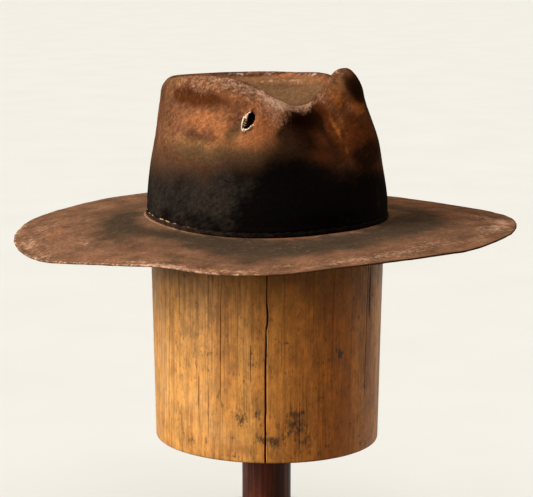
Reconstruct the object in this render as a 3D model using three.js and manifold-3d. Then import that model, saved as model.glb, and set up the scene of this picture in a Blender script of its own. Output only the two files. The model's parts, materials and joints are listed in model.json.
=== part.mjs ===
// A worn felt fedora with a pinched crown, on its wooden hat block and stand, in millimetres.
// The origin is on the floor under the middle of the stand, with +Z up.
// The hat's front looks along -Y, and the wearer's right side along -X.

import * as THREE from 'three';
import { mergeVertices } from 'three/addons/utils/BufferGeometryUtils.js';
import Module from 'manifold-3d';

const wasm = await Module();
wasm.setup();

// The stand
const baseDiameter = 240;
const baseHeight = 20;
const baseEdge = 5;
const postDiameter = 40.6;
const blockBottom = 111;
const blockBottomLength = 185.4;
const blockBottomWidth = 174;
const blockEdge = 1.6;

// The hat, with the head's oval measured round the outside of the crown, at the brim
const seamLevel = 295;
const headLength = 200;
const headWidth = 175;
const felt = 1.8;
const hemFlare = 1;
const hemHeight = 3.6;
const grooveFlare = 0.2;
const lowerWallInset = 0.2;
const lowerWallDipPart = 0.6;
const brimSag = 0.45;

// Gaps between pieces that touch, and round the block inside the hat
const seat = 0.3;
const blockClearance = 0.45;

// Levels of the crown's sections above the seam
const lowerWallLevel = 17;
const wallLevel = 46;
const sideLevel = 66;
const sideBelowShoulder = 14;
const bowlCentreLevel = 88;
const bowlMiddleRadius = 16;
const bowlMiddleLevel = 89.2;

// How the crest rolls over: its outer and inner knots as parts of the way to the shoulder and bowl
const rollOut = 0.74;
const rollDown = 0.3;
const lipIn = 0.36;

// The tear in the crown's right side
const tearTurn = 73;
const tearLevel = 84;
const tearWidth = 6.4;
const tearLength = 13.5;
const tearLean = 20;
const tearBelly = 0.55;
const tearBrow = 0.75;
const tearBellyDown = 0.3;
const tearCutStart = 60;
const tearCutDepth = 40;

// The drying crack down the block, with how far it wanders aside at each level from the seam
const crackTurn = 62;
const crackWidth = 1.5;
const crackFloorRadius = 74;
const crackCutDepth = 30;
const crackPath = [
  { level: 12, aside: 0 },
  { level: -52, aside: 1.3 },
  { level: -80, aside: -0.7 },
  { level: -190, aside: -1.3 },
];

// Facets round each piece. The hat's sections stand closer together at the front, where the folds are
const hatSections = 72;
const hatCrowding = 12;
const blockSections = 60;
const turnedSections = 48;
const curveSegments = 7;
const roundingSegments = 4;
const weldDistance = 1e-4;

// The block's dome inside the crown, as parts of its oval at the seam
const domeTop = 85.9;
const domeLevels = [
  { level: 84.8, part: 0.2 },
  { level: 82, part: 0.37 },
  { level: 77, part: 0.51 },
  { level: 68, part: 0.585 },
  { level: 58, part: 0.72 },
  { level: 46, part: 0.86 },
  { level: 35, part: 0.93 },
  { level: 20, part: 0.98 },
  { level: 0, part: 1 },
];

// The brim by turn, in degrees from the front towards the wearer's right: how far it reaches
// past the oval, how far its edge hangs below the seam level, and how far the seam itself dips
const brimSections = table(['turn', 'reach', 'drop', 'dip'], [
  [0, 106, 1.6, 0],
  [15, 107.5, 3.2, 0.6],
  [30, 107, 4, 1.5],
  [45, 107, 6.4, 3],
  [60, 107, 10.8, 4],
  [72, 107, 11.8, 4.4],
  [86, 107, 9, 4.4],
  [100, 107, 11.8, 3.7],
  [112, 107, 16.2, 2.9],
  [125, 107, 20.6, 1.5],
  [138, 107.5, 20.8, 0.6],
  [150, 109, 18.6, 0],
  [165, 108.5, 15, 0],
  [185, 107, 12, 0],
  [210, 107, 7.6, 1.5],
  [240, 107, 10.6, 4],
  [270, 107, 9.4, 4.4],
  [288, 107, 9.4, 3.5],
  [305, 107.5, 9, 2],
  [322, 106, 5.6, 0.8],
  [340, 103.5, 2.6, 0],
]);

// The crown by turn: its radius at the wall and side levels, then the radius and level of the
// shoulder, of the crest round the top, and of the ring where the sunken bowl begins
const crownColumns = ['turn', 'wall', 'side', 'shoulder', 'shoulderUp', 'crest', 'crestUp', 'bowl', 'bowlUp'];
const crownSections = table(crownColumns, [
  [0, 97.5, 94.5, 85.5, 92, 69.5, 121.6, 50, 97],
  [6, 96, 91, 81, 91, 65.5, 120, 47, 96],
  [12, 93.5, 85.5, 72.5, 86, 60, 109.5, 43, 94],
  [18, 90.5, 78, 61.5, 79, 55, 97.5, 38, 92],
  [26, 86, 71, 55.5, 75.5, 50.5, 93.5, 33, 90],
  [36, 84.5, 71, 57.5, 77, 48.5, 93, 29, 89],
  [48, 84.5, 76, 65.5, 82, 50.5, 97, 30, 89.5],
  [56, 84.5, 79.3, 70.5, 85, 52.3, 101, 30, 90.2],
  [64, 84.4, 80.8, 73.2, 88, 54, 106, 30.3, 91.2],
  [78, 84, 80.5, 75, 92, 57.5, 112.3, 32, 94],
  [95, 85, 81.5, 76, 95, 62, 116, 34, 97],
  [112, 87, 83, 77, 97, 66, 116.6, 36, 98],
  [128, 90, 86, 80, 96, 69.5, 115, 38, 98],
  [147, 93.2, 89.4, 84.8, 93, 73.5, 112.4, 40, 98],
  [165, 95.4, 92.6, 88.8, 92, 75.5, 111.5, 41, 98],
  [182, 96, 93.5, 89, 91, 74, 110.6, 41, 98],
  [200, 94.5, 91.5, 86, 92, 69.5, 110.4, 40, 99],
  [222, 90, 86, 79, 94, 64, 110.6, 38, 100],
  [245, 86, 82, 74.5, 95, 58.5, 111.2, 36, 101],
  [270, 84, 80, 72.5, 95, 55.5, 111.3, 35, 101],
  [295, 84, 79, 71, 94, 54, 112.3, 35, 101],
  [312, 85.5, 79, 67.5, 90, 53.5, 110.5, 36, 99],
  [324, 87.5, 80, 66, 83, 54, 103, 38, 96],
  [333, 91, 84, 71, 83, 56.5, 100, 41, 94],
  [342, 93.5, 89, 79, 87, 60.5, 106, 45, 94],
  [351, 96.5, 93, 84.5, 91, 65.5, 116.5, 49, 96],
]);

// Where the crown's knots lie along a section, from the seam to the middle of the bowl,
// and where the section is sampled for the facets
const crownKnots = [0, 0.035, 0.15, 0.31, 0.41, 0.51, 0.59, 0.66, 0.71, 0.84, 0.93, 1];
const crownSamples = [
  0, 0.035, 0.15, 0.25, 0.33, 0.39, 0.44, 0.48, 0.52, 0.555, 0.585, 0.61, 0.635, 0.66, 0.685, 0.715,
  0.75, 0.79, 0.84, 0.89, 0.94,
];

// Where the brim is sampled, as parts of the way from the hem to its edge
const brimSamples = [0, 0.12, 0.27, 0.43, 0.6, 0.77, 0.9, 1];

function table(columns, rows) {
  return rows.map((row) => Object.fromEntries(columns.map((name, i) => [name, row[i]])));
}

// Cubic through two values with a slope at each, at the part u of the way between them
function cubic(u, span, from, to, slopeFrom, slopeTo) {
  const back = 1 - u;
  const values = (1 + 2 * u) * back * back * from + u * u * (3 - 2 * u) * to;
  return values + u * back * span * (back * slopeFrom - u * slopeTo);
}

// Slope at a knot, from the knots on either side of it
function slopeThrough(before, here, after) {
  const spanBefore = here.at - before.at;
  const spanAfter = after.at - here.at;
  const slopeBefore = (here.value - before.value) / spanBefore;
  const slopeAfter = (after.value - here.value) / spanAfter;
  return (slopeBefore * spanAfter + slopeAfter * spanBefore) / (spanBefore + spanAfter);
}

// Smooth value of one column of a table at any turn, running round the full circle
function roundTurn(rows, column, turn) {
  const count = rows.length;
  const at = ((turn % 360) + 360) % 360;
  const knot = (i) => ({
    at: rows[(i + count) % count].turn + 360 * Math.floor(i / count),
    value: rows[(i + count) % count][column],
  });
  let i = count - 1;
  while (rows[i].turn > at) i -= 1;
  const [before, from, to, after] = [knot(i - 1), knot(i), knot(i + 1), knot(i + 2)];
  const span = to.at - from.at;
  const slopes = [slopeThrough(before, from, to), slopeThrough(from, to, after)];
  return cubic((at - from.at) / span, span, from.value, to.value, ...slopes);
}

// Smooth value through a list of knots that has two ends
function alongKnots(places, values, at) {
  const last = places.length - 1;
  const knot = (i) => ({ at: places[i], value: values[i] });
  let i = last - 1;
  while (places[i] > at) i -= 1;
  const from = knot(i);
  const to = knot(i + 1);
  const span = to.at - from.at;
  const straight = (to.value - from.value) / span;
  const slopeFrom = i > 0 ? slopeThrough(knot(i - 1), from, to) : straight;
  const slopeTo = i + 1 < last ? slopeThrough(from, to, knot(i + 2)) : straight;
  return cubic((at - from.at) / span, span, from.value, to.value, slopeFrom, slopeTo);
}

// Radius of an oval at a turn from its long axis
function ovalRadius(turn, length, width) {
  const angle = THREE.MathUtils.degToRad(turn);
  const across = Math.hypot(width * Math.cos(angle), length * Math.sin(angle));
  return (length * width) / (2 * across);
}

function spot(radius, turn, level) {
  const angle = THREE.MathUtils.degToRad(turn);
  return new THREE.Vector3(-radius * Math.sin(angle), -radius * Math.cos(angle), seamLevel + level);
}

function hatTurns() {
  return Array.from({ length: hatSections }, (_, i) => {
    const turn = (360 * i) / hatSections;
    return turn - hatCrowding * Math.sin(THREE.MathUtils.degToRad(turn));
  });
}

function seamDip(turn) {
  return -roundTurn(brimSections, 'dip', turn);
}

// Point on the crown's outer face, at a turn and at a place along the section
function crownPoint(turn, place) {
  const oval = ovalRadius(turn, headLength, headWidth);
  const dip = seamDip(turn);
  const at = Object.fromEntries(crownColumns.map((name) => [name, roundTurn(crownSections, name, turn)]));
  const radii = [
    oval + hemFlare,
    oval + grooveFlare,
    oval - lowerWallInset,
    at.wall,
    at.side,
    at.shoulder,
    at.crest + rollOut * (at.shoulder - at.crest),
    at.crest,
    at.crest - lipIn * (at.crest - at.bowl),
    at.bowl,
    bowlMiddleRadius,
    0,
  ];
  const levels = [
    dip + seat,
    dip + hemHeight,
    lowerWallLevel + lowerWallDipPart * dip,
    wallLevel,
    Math.min(sideLevel, at.shoulderUp - sideBelowShoulder),
    at.shoulderUp,
    at.crestUp - rollDown * (at.crestUp - at.shoulderUp),
    at.crestUp,
    at.crestUp - lipIn * (at.crestUp - at.bowlUp),
    at.bowlUp,
    bowlMiddleLevel,
    bowlCentreLevel,
  ];
  return spot(alongKnots(crownKnots, radii, place), turn, alongKnots(crownKnots, levels, place));
}

// Outward direction of the crown's face, from four points close round the place
function crownNormal(turn, place) {
  const step = 0.004;
  const turnStep = 0.5;
  const along = crownPoint(turn, place + step).sub(crownPoint(turn, place - step));
  const round = crownPoint(turn + turnStep, place).sub(crownPoint(turn - turnStep, place));
  return along.cross(round).normalize();
}

// Closed body through rings of points. It runs from one end point to the other, or,
// without end points, from the last ring back to the first
function loft(rings, first, last) {
  const count = rings[0].length;
  const points = rings.flat();
  const triangles = [];
  const quad = (upper, lower) => {
    for (let i = 0; i < count; i += 1) {
      const next = (i + 1) % count;
      triangles.push(upper + i, upper + next, lower + next, upper + i, lower + next, lower + i);
    }
  };
  for (let j = 0; j + 1 < rings.length; j += 1) {
    quad(j * count, (j + 1) * count);
  }
  const lastRing = (rings.length - 1) * count;
  if (first) {
    points.push(first, last);
    for (let i = 0; i < count; i += 1) {
      const next = (i + 1) % count;
      triangles.push(points.length - 2, next, i);
      triangles.push(points.length - 1, lastRing + i, lastRing + next);
    }
  } else {
    quad(lastRing, 0);
  }
  const geometry = new THREE.BufferGeometry().setFromPoints(points);
  geometry.setIndex(triangles);
  return geometry;
}

function toSolid(geometry) {
  const bare = new THREE.BufferGeometry();
  bare.setAttribute('position', geometry.getAttribute('position').clone());
  bare.setIndex(geometry.getIndex());
  const merged = mergeVertices(bare, weldDistance);
  const vertProperties = new Float32Array(merged.getAttribute('position').array);
  const triVerts = new Uint32Array(merged.getIndex().array);
  return new wasm.Manifold(new wasm.Mesh({ numProp: 3, vertProperties, triVerts }));
}

function cut(geometry, tool) {
  const mesh = toSolid(geometry).subtract(toSolid(tool)).getMesh();
  const result = new THREE.BufferGeometry();
  result.setAttribute('position', new THREE.BufferAttribute(mesh.vertProperties, 3));
  result.setIndex(new THREE.BufferAttribute(mesh.triVerts, 1));
  return result;
}

// Bar of a flat outline, run outwards through a wall at a turn. The outline's x goes to the
// right of someone who faces the wall, and its y goes up
function barThroughWall(outline, turn, level, startRadius, depth) {
  const angle = THREE.MathUtils.degToRad(turn);
  const right = new THREE.Vector3(Math.cos(angle), -Math.sin(angle), 0);
  const out = new THREE.Vector3(-Math.sin(angle), -Math.cos(angle), 0);
  const bar = new THREE.ExtrudeGeometry(outline, { depth, bevelEnabled: false, curveSegments });
  const frame = new THREE.Matrix4().makeBasis(right, new THREE.Vector3(0, 0, 1), out);
  frame.setPosition(spot(startRadius, turn, level));
  return bar.applyMatrix4(frame);
}

// Pointed below and round above, leaning to the right
function tearTool() {
  const half = tearLength / 2;
  const lean = THREE.MathUtils.degToRad(-tearLean);
  const corner = (x, y) => new THREE.Vector2(x, y).rotateAround(new THREE.Vector2(), lean);
  const outline = new THREE.Shape();
  const side = (sign) => [
    corner(sign * tearBelly * tearWidth, -tearBellyDown * half),
    corner(sign * tearBrow * tearWidth, half),
    corner(0, half),
  ];
  const [lowRight, highRight, top] = side(1);
  const [lowLeft, highLeft] = side(-1);
  const point = corner(0, -half);
  outline.moveTo(point.x, point.y);
  outline.bezierCurveTo(lowRight.x, lowRight.y, highRight.x, highRight.y, top.x, top.y);
  outline.bezierCurveTo(highLeft.x, highLeft.y, lowLeft.x, lowLeft.y, point.x, point.y);
  return barThroughWall(outline, tearTurn, tearLevel, tearCutStart, tearCutDepth);
}

function crackTool() {
  const left = crackPath.map(({ level, aside }) => new THREE.Vector2(aside - crackWidth / 2, level));
  const right = crackPath.map(({ level, aside }) => new THREE.Vector2(aside + crackWidth / 2, level));
  const outline = new THREE.Shape([...left, ...right.reverse()]);
  return barThroughWall(outline, crackTurn, 0, crackFloorRadius, crackCutDepth);
}

// The outer face from the bowl down to the hem, then the inner face back up to the bowl
function crown() {
  const turns = hatTurns();
  const outer = crownSamples.map((place) => turns.map((turn) => crownPoint(turn, place)));
  const inner = crownSamples.slice(1).map((place) => turns.map((turn) => {
    return crownPoint(turn, place).addScaledVector(crownNormal(turn, place), -felt);
  }));
  const foot = turns.map((turn) => spot(innerOval(turn), turn, seamDip(turn) + seat));
  const bowlTop = spot(0, 0, bowlCentreLevel);
  const bowlUnder = spot(0, 0, bowlCentreLevel - felt);
  return cut(loft([...outer.reverse(), foot, ...inner], bowlTop, bowlUnder), tearTool());
}

// Radius of the hat's inside at the seam
function innerOval(turn) {
  return ovalRadius(turn, headLength, headWidth) - felt;
}

// Flat under the hem, then sagging more and more towards the edge
function brim() {
  const turns = hatTurns();
  const ringAt = (radiusAt, levelAt) => turns.map((turn) => spot(radiusAt(turn), turn, levelAt(turn)));
  const hemRadius = (turn) => ovalRadius(turn, headLength, headWidth) + hemFlare;
  const edgeRadius = (turn) => {
    return ovalRadius(turn, headLength, headWidth) + roundTurn(brimSections, 'reach', turn);
  };
  const level = (turn, part) => {
    const fall = (1 - brimSag) * part + brimSag * part * part;
    return seamDip(turn) - fall * (roundTurn(brimSections, 'drop', turn) + seamDip(turn));
  };
  const radius = (turn, part) => hemRadius(turn) + part * (edgeRadius(turn) - hemRadius(turn));
  const face = (under) => [
    ringAt(innerOval, (turn) => seamDip(turn) - under),
    ...brimSamples.map((part) => ringAt((turn) => radius(turn, part), (turn) => level(turn, part) - under)),
  ];
  return loft([...face(0), ...face(felt).reverse()]);
}

// A dome under the crown, then straight sides that narrow down to the block's bottom
function hatBlock() {
  const turns = Array.from({ length: blockSections }, (_, i) => (360 * i) / blockSections);
  const topLength = headLength - 2 * (felt + blockClearance);
  const topWidth = headWidth - 2 * (felt + blockClearance);
  const bottomLevel = blockBottom - seamLevel;
  const dome = domeLevels.map(({ level, part }) => turns.map((turn) => {
    return spot(part * ovalRadius(turn, topLength, topWidth), turn, level);
  }));
  const bottomRing = (inset, level) => turns.map((turn) => {
    return spot(ovalRadius(turn, blockBottomLength - inset, blockBottomWidth - inset), turn, level);
  });
  const rings = [...dome, bottomRing(0, bottomLevel + blockEdge), bottomRing(2 * blockEdge, bottomLevel)];
  return cut(loft(rings, spot(0, 0, domeTop), spot(0, 0, bottomLevel)), crackTool());
}

function standPost() {
  const height = blockBottom - baseHeight - 2 * seat;
  const post = new THREE.CylinderGeometry(postDiameter / 2, postDiameter / 2, height, turnedSections);
  return post.rotateX(Math.PI / 2).translate(0, 0, baseHeight + seat + height / 2);
}

// A disc with a rounded upper edge
function standBase() {
  const radius = baseDiameter / 2;
  const profile = new THREE.Path();
  profile.moveTo(0, 0);
  profile.lineTo(radius, 0);
  profile.lineTo(radius, baseHeight - baseEdge);
  profile.absarc(radius - baseEdge, baseHeight - baseEdge, baseEdge, 0, Math.PI / 2);
  profile.lineTo(0, baseHeight);
  return new THREE.LatheGeometry(profile.getPoints(roundingSegments), turnedSections).rotateX(Math.PI / 2);
}

const object = new THREE.Group();

function addPiece(name, geometry, color, roughness) {
  const material = new THREE.MeshStandardMaterial({ color, roughness, metalness: 0 });
  const mesh = new THREE.Mesh(geometry, material);
  mesh.name = name;
  object.add(mesh);
}

addPiece('crown', crown(), 0x5a3a26, 0.95);
addPiece('brim', brim(), 0x6b4632, 0.95);
addPiece('hat_block', hatBlock(), 0xc08a45, 0.6);
addPiece('stand_post', standPost(), 0x3a1e16, 0.5);
addPiece('stand_base', standBase(), 0x3a1e16, 0.5);

export default object;
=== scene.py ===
# A worn wool felt fedora with a pinched crown, on its wooden hat block and turned stand.
# Sizes in the tables are in millimetres, and each mesh is turned to metres as it is made.
# The hat's front looks along -Y, and a turn is counted from there towards the wearer's right side, -X.
import json
import math
import bmesh
import bpy
import numpy as np
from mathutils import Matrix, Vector

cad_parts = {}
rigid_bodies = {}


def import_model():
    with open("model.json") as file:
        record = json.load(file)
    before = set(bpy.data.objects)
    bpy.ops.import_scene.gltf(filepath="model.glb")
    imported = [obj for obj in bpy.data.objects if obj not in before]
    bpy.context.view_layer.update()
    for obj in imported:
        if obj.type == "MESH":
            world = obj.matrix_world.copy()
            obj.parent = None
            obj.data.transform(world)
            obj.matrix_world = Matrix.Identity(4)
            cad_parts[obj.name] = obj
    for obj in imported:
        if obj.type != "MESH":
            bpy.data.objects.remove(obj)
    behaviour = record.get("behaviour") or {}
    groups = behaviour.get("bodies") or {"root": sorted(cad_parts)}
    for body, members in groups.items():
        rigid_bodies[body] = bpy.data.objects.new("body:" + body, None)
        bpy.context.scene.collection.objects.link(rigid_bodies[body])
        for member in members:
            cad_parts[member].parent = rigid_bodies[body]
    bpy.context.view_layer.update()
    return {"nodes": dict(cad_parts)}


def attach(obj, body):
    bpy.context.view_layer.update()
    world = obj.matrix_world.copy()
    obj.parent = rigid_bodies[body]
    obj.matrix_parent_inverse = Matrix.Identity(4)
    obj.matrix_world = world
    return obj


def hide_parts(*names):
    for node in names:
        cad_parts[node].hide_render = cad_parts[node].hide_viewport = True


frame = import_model()
print("frame loaded:", ", ".join(sorted(frame["nodes"])))


# Small tools for curves, noise and meshes

def smoothStep(low, high, value):
    part = np.clip((value - low) / (high - low), 0, 1)
    return part * part * (3 - 2 * part)


def cubicBetween(part, span, start, end, startSlope, endSlope):
    back = 1 - part
    values = (1 + 2 * part) * back * back * start + part * part * (3 - 2 * part) * end
    return values + part * back * span * (back * startSlope - part * endSlope)


# Smooth value of a table's column at any turn, running round the full circle
def roundTurn(turns, column, at):
    turns = np.concatenate([[turns[-1] - 360], turns, [turns[0] + 360, turns[1] + 360]])
    column = np.concatenate([[column[-1]], column, [column[0], column[1]]])
    spans = np.diff(turns)
    steps = np.diff(column) / spans
    slopes = np.zeros_like(column)
    slopes[1:-1] = (steps[:-1] * spans[1:] + steps[1:] * spans[:-1]) / (spans[:-1] + spans[1:])
    at = np.mod(at, 360)
    i = np.clip(np.searchsorted(turns, at, side="right") - 1, 1, len(turns) - 3)
    part = (at - turns[i]) / spans[i]
    return cubicBetween(part, spans[i], column[i], column[i + 1], slopes[i], slopes[i + 1])


# The same from pairs of a turn and an amount
def roundPairs(pairs, at):
    turns, amounts = np.array(sorted((turn % 360, amount) for turn, amount in pairs), float).T
    return roundTurn(turns, amounts, at)


# Straight-line value at a level from pairs of a level and an amount, listed downwards
def downPairs(pairs, at):
    levels, amounts = np.array(pairs[::-1], float).T
    return np.interp(at, levels, amounts)


# Smooth value through knots that have two ends. Each knot may hold a whole row of values
def alongKnots(places, values, at):
    places = np.asarray(places, float)
    values = np.asarray(values, float)
    spans = np.diff(places)
    wide = spans.reshape((-1,) + (1,) * (values.ndim - 1))
    steps = np.diff(values, axis=0) / wide
    between = (steps[:-1] * wide[1:] + steps[1:] * wide[:-1]) / (wide[:-1] + wide[1:])
    slopes = np.concatenate([steps[:1], between, steps[-1:]])
    rows = []
    for spot in np.atleast_1d(at):
        i = min(max(int(np.searchsorted(places, spot, side="right")) - 1, 0), len(spans) - 1)
        part = (spot - places[i]) / spans[i]
        rows.append(cubicBetween(part, spans[i], values[i], values[i + 1], slopes[i], slopes[i + 1]))
    return np.array(rows)


# Soft random hills from -1 to 1, about one for each size, the same on every run
def softNoise(points, size, seed):
    cell = points / size + seed * 17.31
    base = np.floor(cell).astype(np.int64)
    part = cell - base
    part = part * part * (3 - 2 * part)
    total = np.zeros(points.shape[:-1])
    for corner in np.ndindex(2, 2, 2):
        at = base + np.array(corner)
        mixed = (at[..., 0] * 73856093) ^ (at[..., 1] * 19349663) ^ (at[..., 2] * 83492791)
        mixed = ((mixed ^ (mixed >> 13)) * 1274126177) & 0x7fffffff
        value = ((mixed ^ (mixed >> 16)) & 0xffff) / 65535
        total += value * np.prod(np.where(np.array(corner), part, 1 - part), axis=-1)
    return total * 2 - 1


# The same hills along a line, or over a plane where aside changes too
def lineNoise(along, size, seed, aside=0):
    return softNoise(np.stack([along, 0 * along + aside, 0 * along], -1), size, seed)


# Positions from start to end that stand closer together round some spots. A spot has an extra
# share of positions, a place and a reach
def crowded(start, end, count, spots):
    fine = np.linspace(start, end, 4000)
    weight = 1 + sum(extra * np.exp(-((fine - place) / reach) ** 2) for extra, place, reach in spots)
    total = np.concatenate([[0], np.cumsum((weight[1:] + weight[:-1]) / 2)])
    return np.interp(np.linspace(0, total[-1], count), total, fine)


def turnAway(turn, centre):
    return np.mod(turn - centre + 180, 360) - 180


def ovalRadius(turn, length, width):
    angle = np.radians(turn)
    return length * width / (2 * np.hypot(width * np.cos(angle), length * np.sin(angle)))


# Level directions at a turn: straight out of the head, and to the right of a viewer who faces it
def outAt(turn):
    angle = np.radians(turn)
    return np.stack([-np.sin(angle), -np.cos(angle), 0 * angle], -1)


def rightAt(turn):
    angle = np.radians(turn)
    return np.stack([np.cos(angle), -np.sin(angle), 0 * angle], -1)


# Points at radii, turns and levels above the seam
def spotAt(radius, turn, level):
    angle = np.radians(turn)
    return np.stack([-radius * np.sin(angle), -radius * np.cos(angle), hat["seamLevel"] + level + 0 * angle], -1)


# Faces between rows of points, each row running once round. Flipped faces start at another
# corner, so they are split along their other diagonal
def gridFaces(rows, count, flip=False, start=0):
    upper = start + np.arange(rows - 1)[:, None] * count + np.arange(count)[None]
    across = start + np.arange(rows - 1)[:, None] * count + (np.arange(count)[None] + 1) % count
    faces = np.stack([upper, across, across + count, upper + count], -1).reshape(-1, 4)
    return [tuple(face) for face in (faces[:, ::-1] if flip else faces)]


# Triangles from a ring of points to the one at its middle
def fanFaces(start, count, middle):
    return [(start + i, start + (i + 1) % count, middle) for i in range(count)]


# Faces of a tube of rings, closed at both ends
def tubeFaces(rings, sides, start=0):
    last = start + (rings - 1) * sides
    return gridFaces(rings, sides, start=start) + [tuple(range(start, start + sides))[::-1],
                                                   tuple(range(last, last + sides))]


# A ring of points round a centre, on two directions that lie across it
def ringAt(centre, radii, first, second):
    angles = 2 * np.pi * np.arange(len(radii))[:, None] / len(radii)
    return centre + np.array(radii)[:, None] * (np.cos(angles) * first + np.sin(angles) * second)


def makePiece(name, points, faces, material, attributes=None, node=None):
    mesh = bpy.data.meshes.new(name)
    mesh.from_pydata((np.asarray(points) / 1000).tolist(), [], [list(map(int, face)) for face in faces])
    mesh.materials.append(material)
    solid = bmesh.new()
    solid.from_mesh(mesh)
    bmesh.ops.recalc_face_normals(solid, faces=solid.faces)  # all faces look outwards
    solid.to_mesh(mesh)
    solid.free()
    mesh.polygons.foreach_set("use_smooth", [True] * len(mesh.polygons))
    for label, values in (attributes or {}).items():
        vector = np.ndim(values) == 2
        layer = mesh.attributes.new(label, "FLOAT_VECTOR" if vector else "FLOAT", "POINT")
        layer.data.foreach_set("vector" if vector else "value", np.asarray(values, np.float32).ravel())
    mesh.validate()
    piece = bpy.data.objects.new(name, mesh)
    bpy.context.collection.objects.link(piece)
    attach(piece, "root")
    if node:
        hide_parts(node)
    print("made", name, len(mesh.polygons), "faces")
    return piece


# How strongly a set of soft patches covers each point. A patch lies on the grid at a turn and a
# place, is wide by high, leans clockwise, and wanders at its edge by the rough part
def patchCover(points, normals, turns, places, rows, rough=0.35):
    cover = np.zeros(points.shape[:-1])
    large, small = (np.stack([softNoise(points, size, seed), softNoise(points, size, seed + 1)], -1)
                    for size, seed in ((9, 3), (3.5, 5)))
    wander = large + 0.5 * small
    for turn, place, wide, high, lean, strength in rows:
        column = int(np.argmin(np.abs(turnAway(turns, turn))))
        row = int(np.argmin(np.abs(places - place)))
        centre, out = points[row, column], normals[row, column]
        right = rightAt(turn)
        right = right - out * right.dot(out)
        right /= np.linalg.norm(right)
        up = np.cross(out, right)
        away = points - centre
        aside, rise, deep = away @ right, away @ up, away @ out
        angle = math.radians(lean)
        x = (aside * math.cos(angle) - rise * math.sin(angle)) / wide + rough * wander[..., 0]
        y = (aside * math.sin(angle) + rise * math.cos(angle)) / high + rough * wander[..., 1]
        z = deep / (0.5 * (wide + high) + 6)  # so that a patch doesn't reach through the hat
        cover += strength * np.exp(-(x * x + y * y + z * z)) * (normals @ out > -0.2)
    return cover


# Soft dents and rolls of a surface, each with its millimetres at the end of its row
def dentLift(points, normals, turns, places, rows):
    return sum(row[5] * patchCover(points, normals, turns, places, [row[:5] + (1,)], 0.1) for row in rows)


# Materials

def fromHex(text):
    parts = [int(text[i:i + 2], 16) / 255 for i in (1, 3, 5)]
    return tuple(v / 12.92 if v <= 0.04045 else ((v + 0.055) / 1.055) ** 2.4 for v in parts) + (1.0,)


# Gives a node's sockets their values, or links them to another node's socket. A node
# stands for its first output
def setSockets(tree, node, sockets):
    for label, value in sockets.items():
        if isinstance(value, bpy.types.Node):
            value = value.outputs[0]
        if isinstance(value, bpy.types.NodeSocket):
            tree.links.new(value, node.inputs[label])
        else:
            node.inputs[label].default_value = value


# Adds one node, with its settings, its socket values or links, and the stops of a ramp
def addNode(tree, kind, sockets=None, stops=None, **settings):
    node = tree.nodes.new("ShaderNode" + kind)
    for label, value in settings.items():
        setattr(node, label, value)
    setSockets(tree, node, sockets or {})
    for i, (place, colour) in enumerate(stops or []):
        element = node.color_ramp.elements[i] if i < 2 else node.color_ramp.elements.new(place)
        element.position = place
        element.color = fromHex(colour)
    return node


def newMaterial(name):
    material = bpy.data.materials.new(name)
    material.use_nodes = True
    tree = material.node_tree
    tree.nodes.clear()
    shader = addNode(tree, "BsdfPrincipled")
    addNode(tree, "OutputMaterial", {"Surface": shader})
    return material, tree, shader, addNode(tree, "TexCoord").outputs["Object"]


# Lays colours over another in turn, each where a painted attribute, broken up by a noise, is strong
# enough. A row has the colour, the attribute, the noise, its roughness, low, high and the strength
def layOver(tree, colour, layers, noises):
    for shade, attribute, noise, roughness, low, high, strength in layers:
        painted = addNode(tree, "Attribute", attribute_name=attribute)
        centred = addNode(tree, "Math", {0: noises[noise], 1: 0.5}, operation="SUBTRACT")
        broken = addNode(tree, "Math", {0: centred, 1: roughness, 2: painted.outputs["Fac"]},
                         operation="MULTIPLY_ADD")
        mask = addNode(tree, "MapRange", {"Value": broken, "From Min": low, "From Max": high,
                                          "To Max": strength}, interpolation_type="SMOOTHSTEP")
        colour = addNode(tree, "Mix", {0: mask, 6: colour, 7: fromHex(shade)},
                         data_type="RGBA").outputs[2]
    return colour


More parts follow.
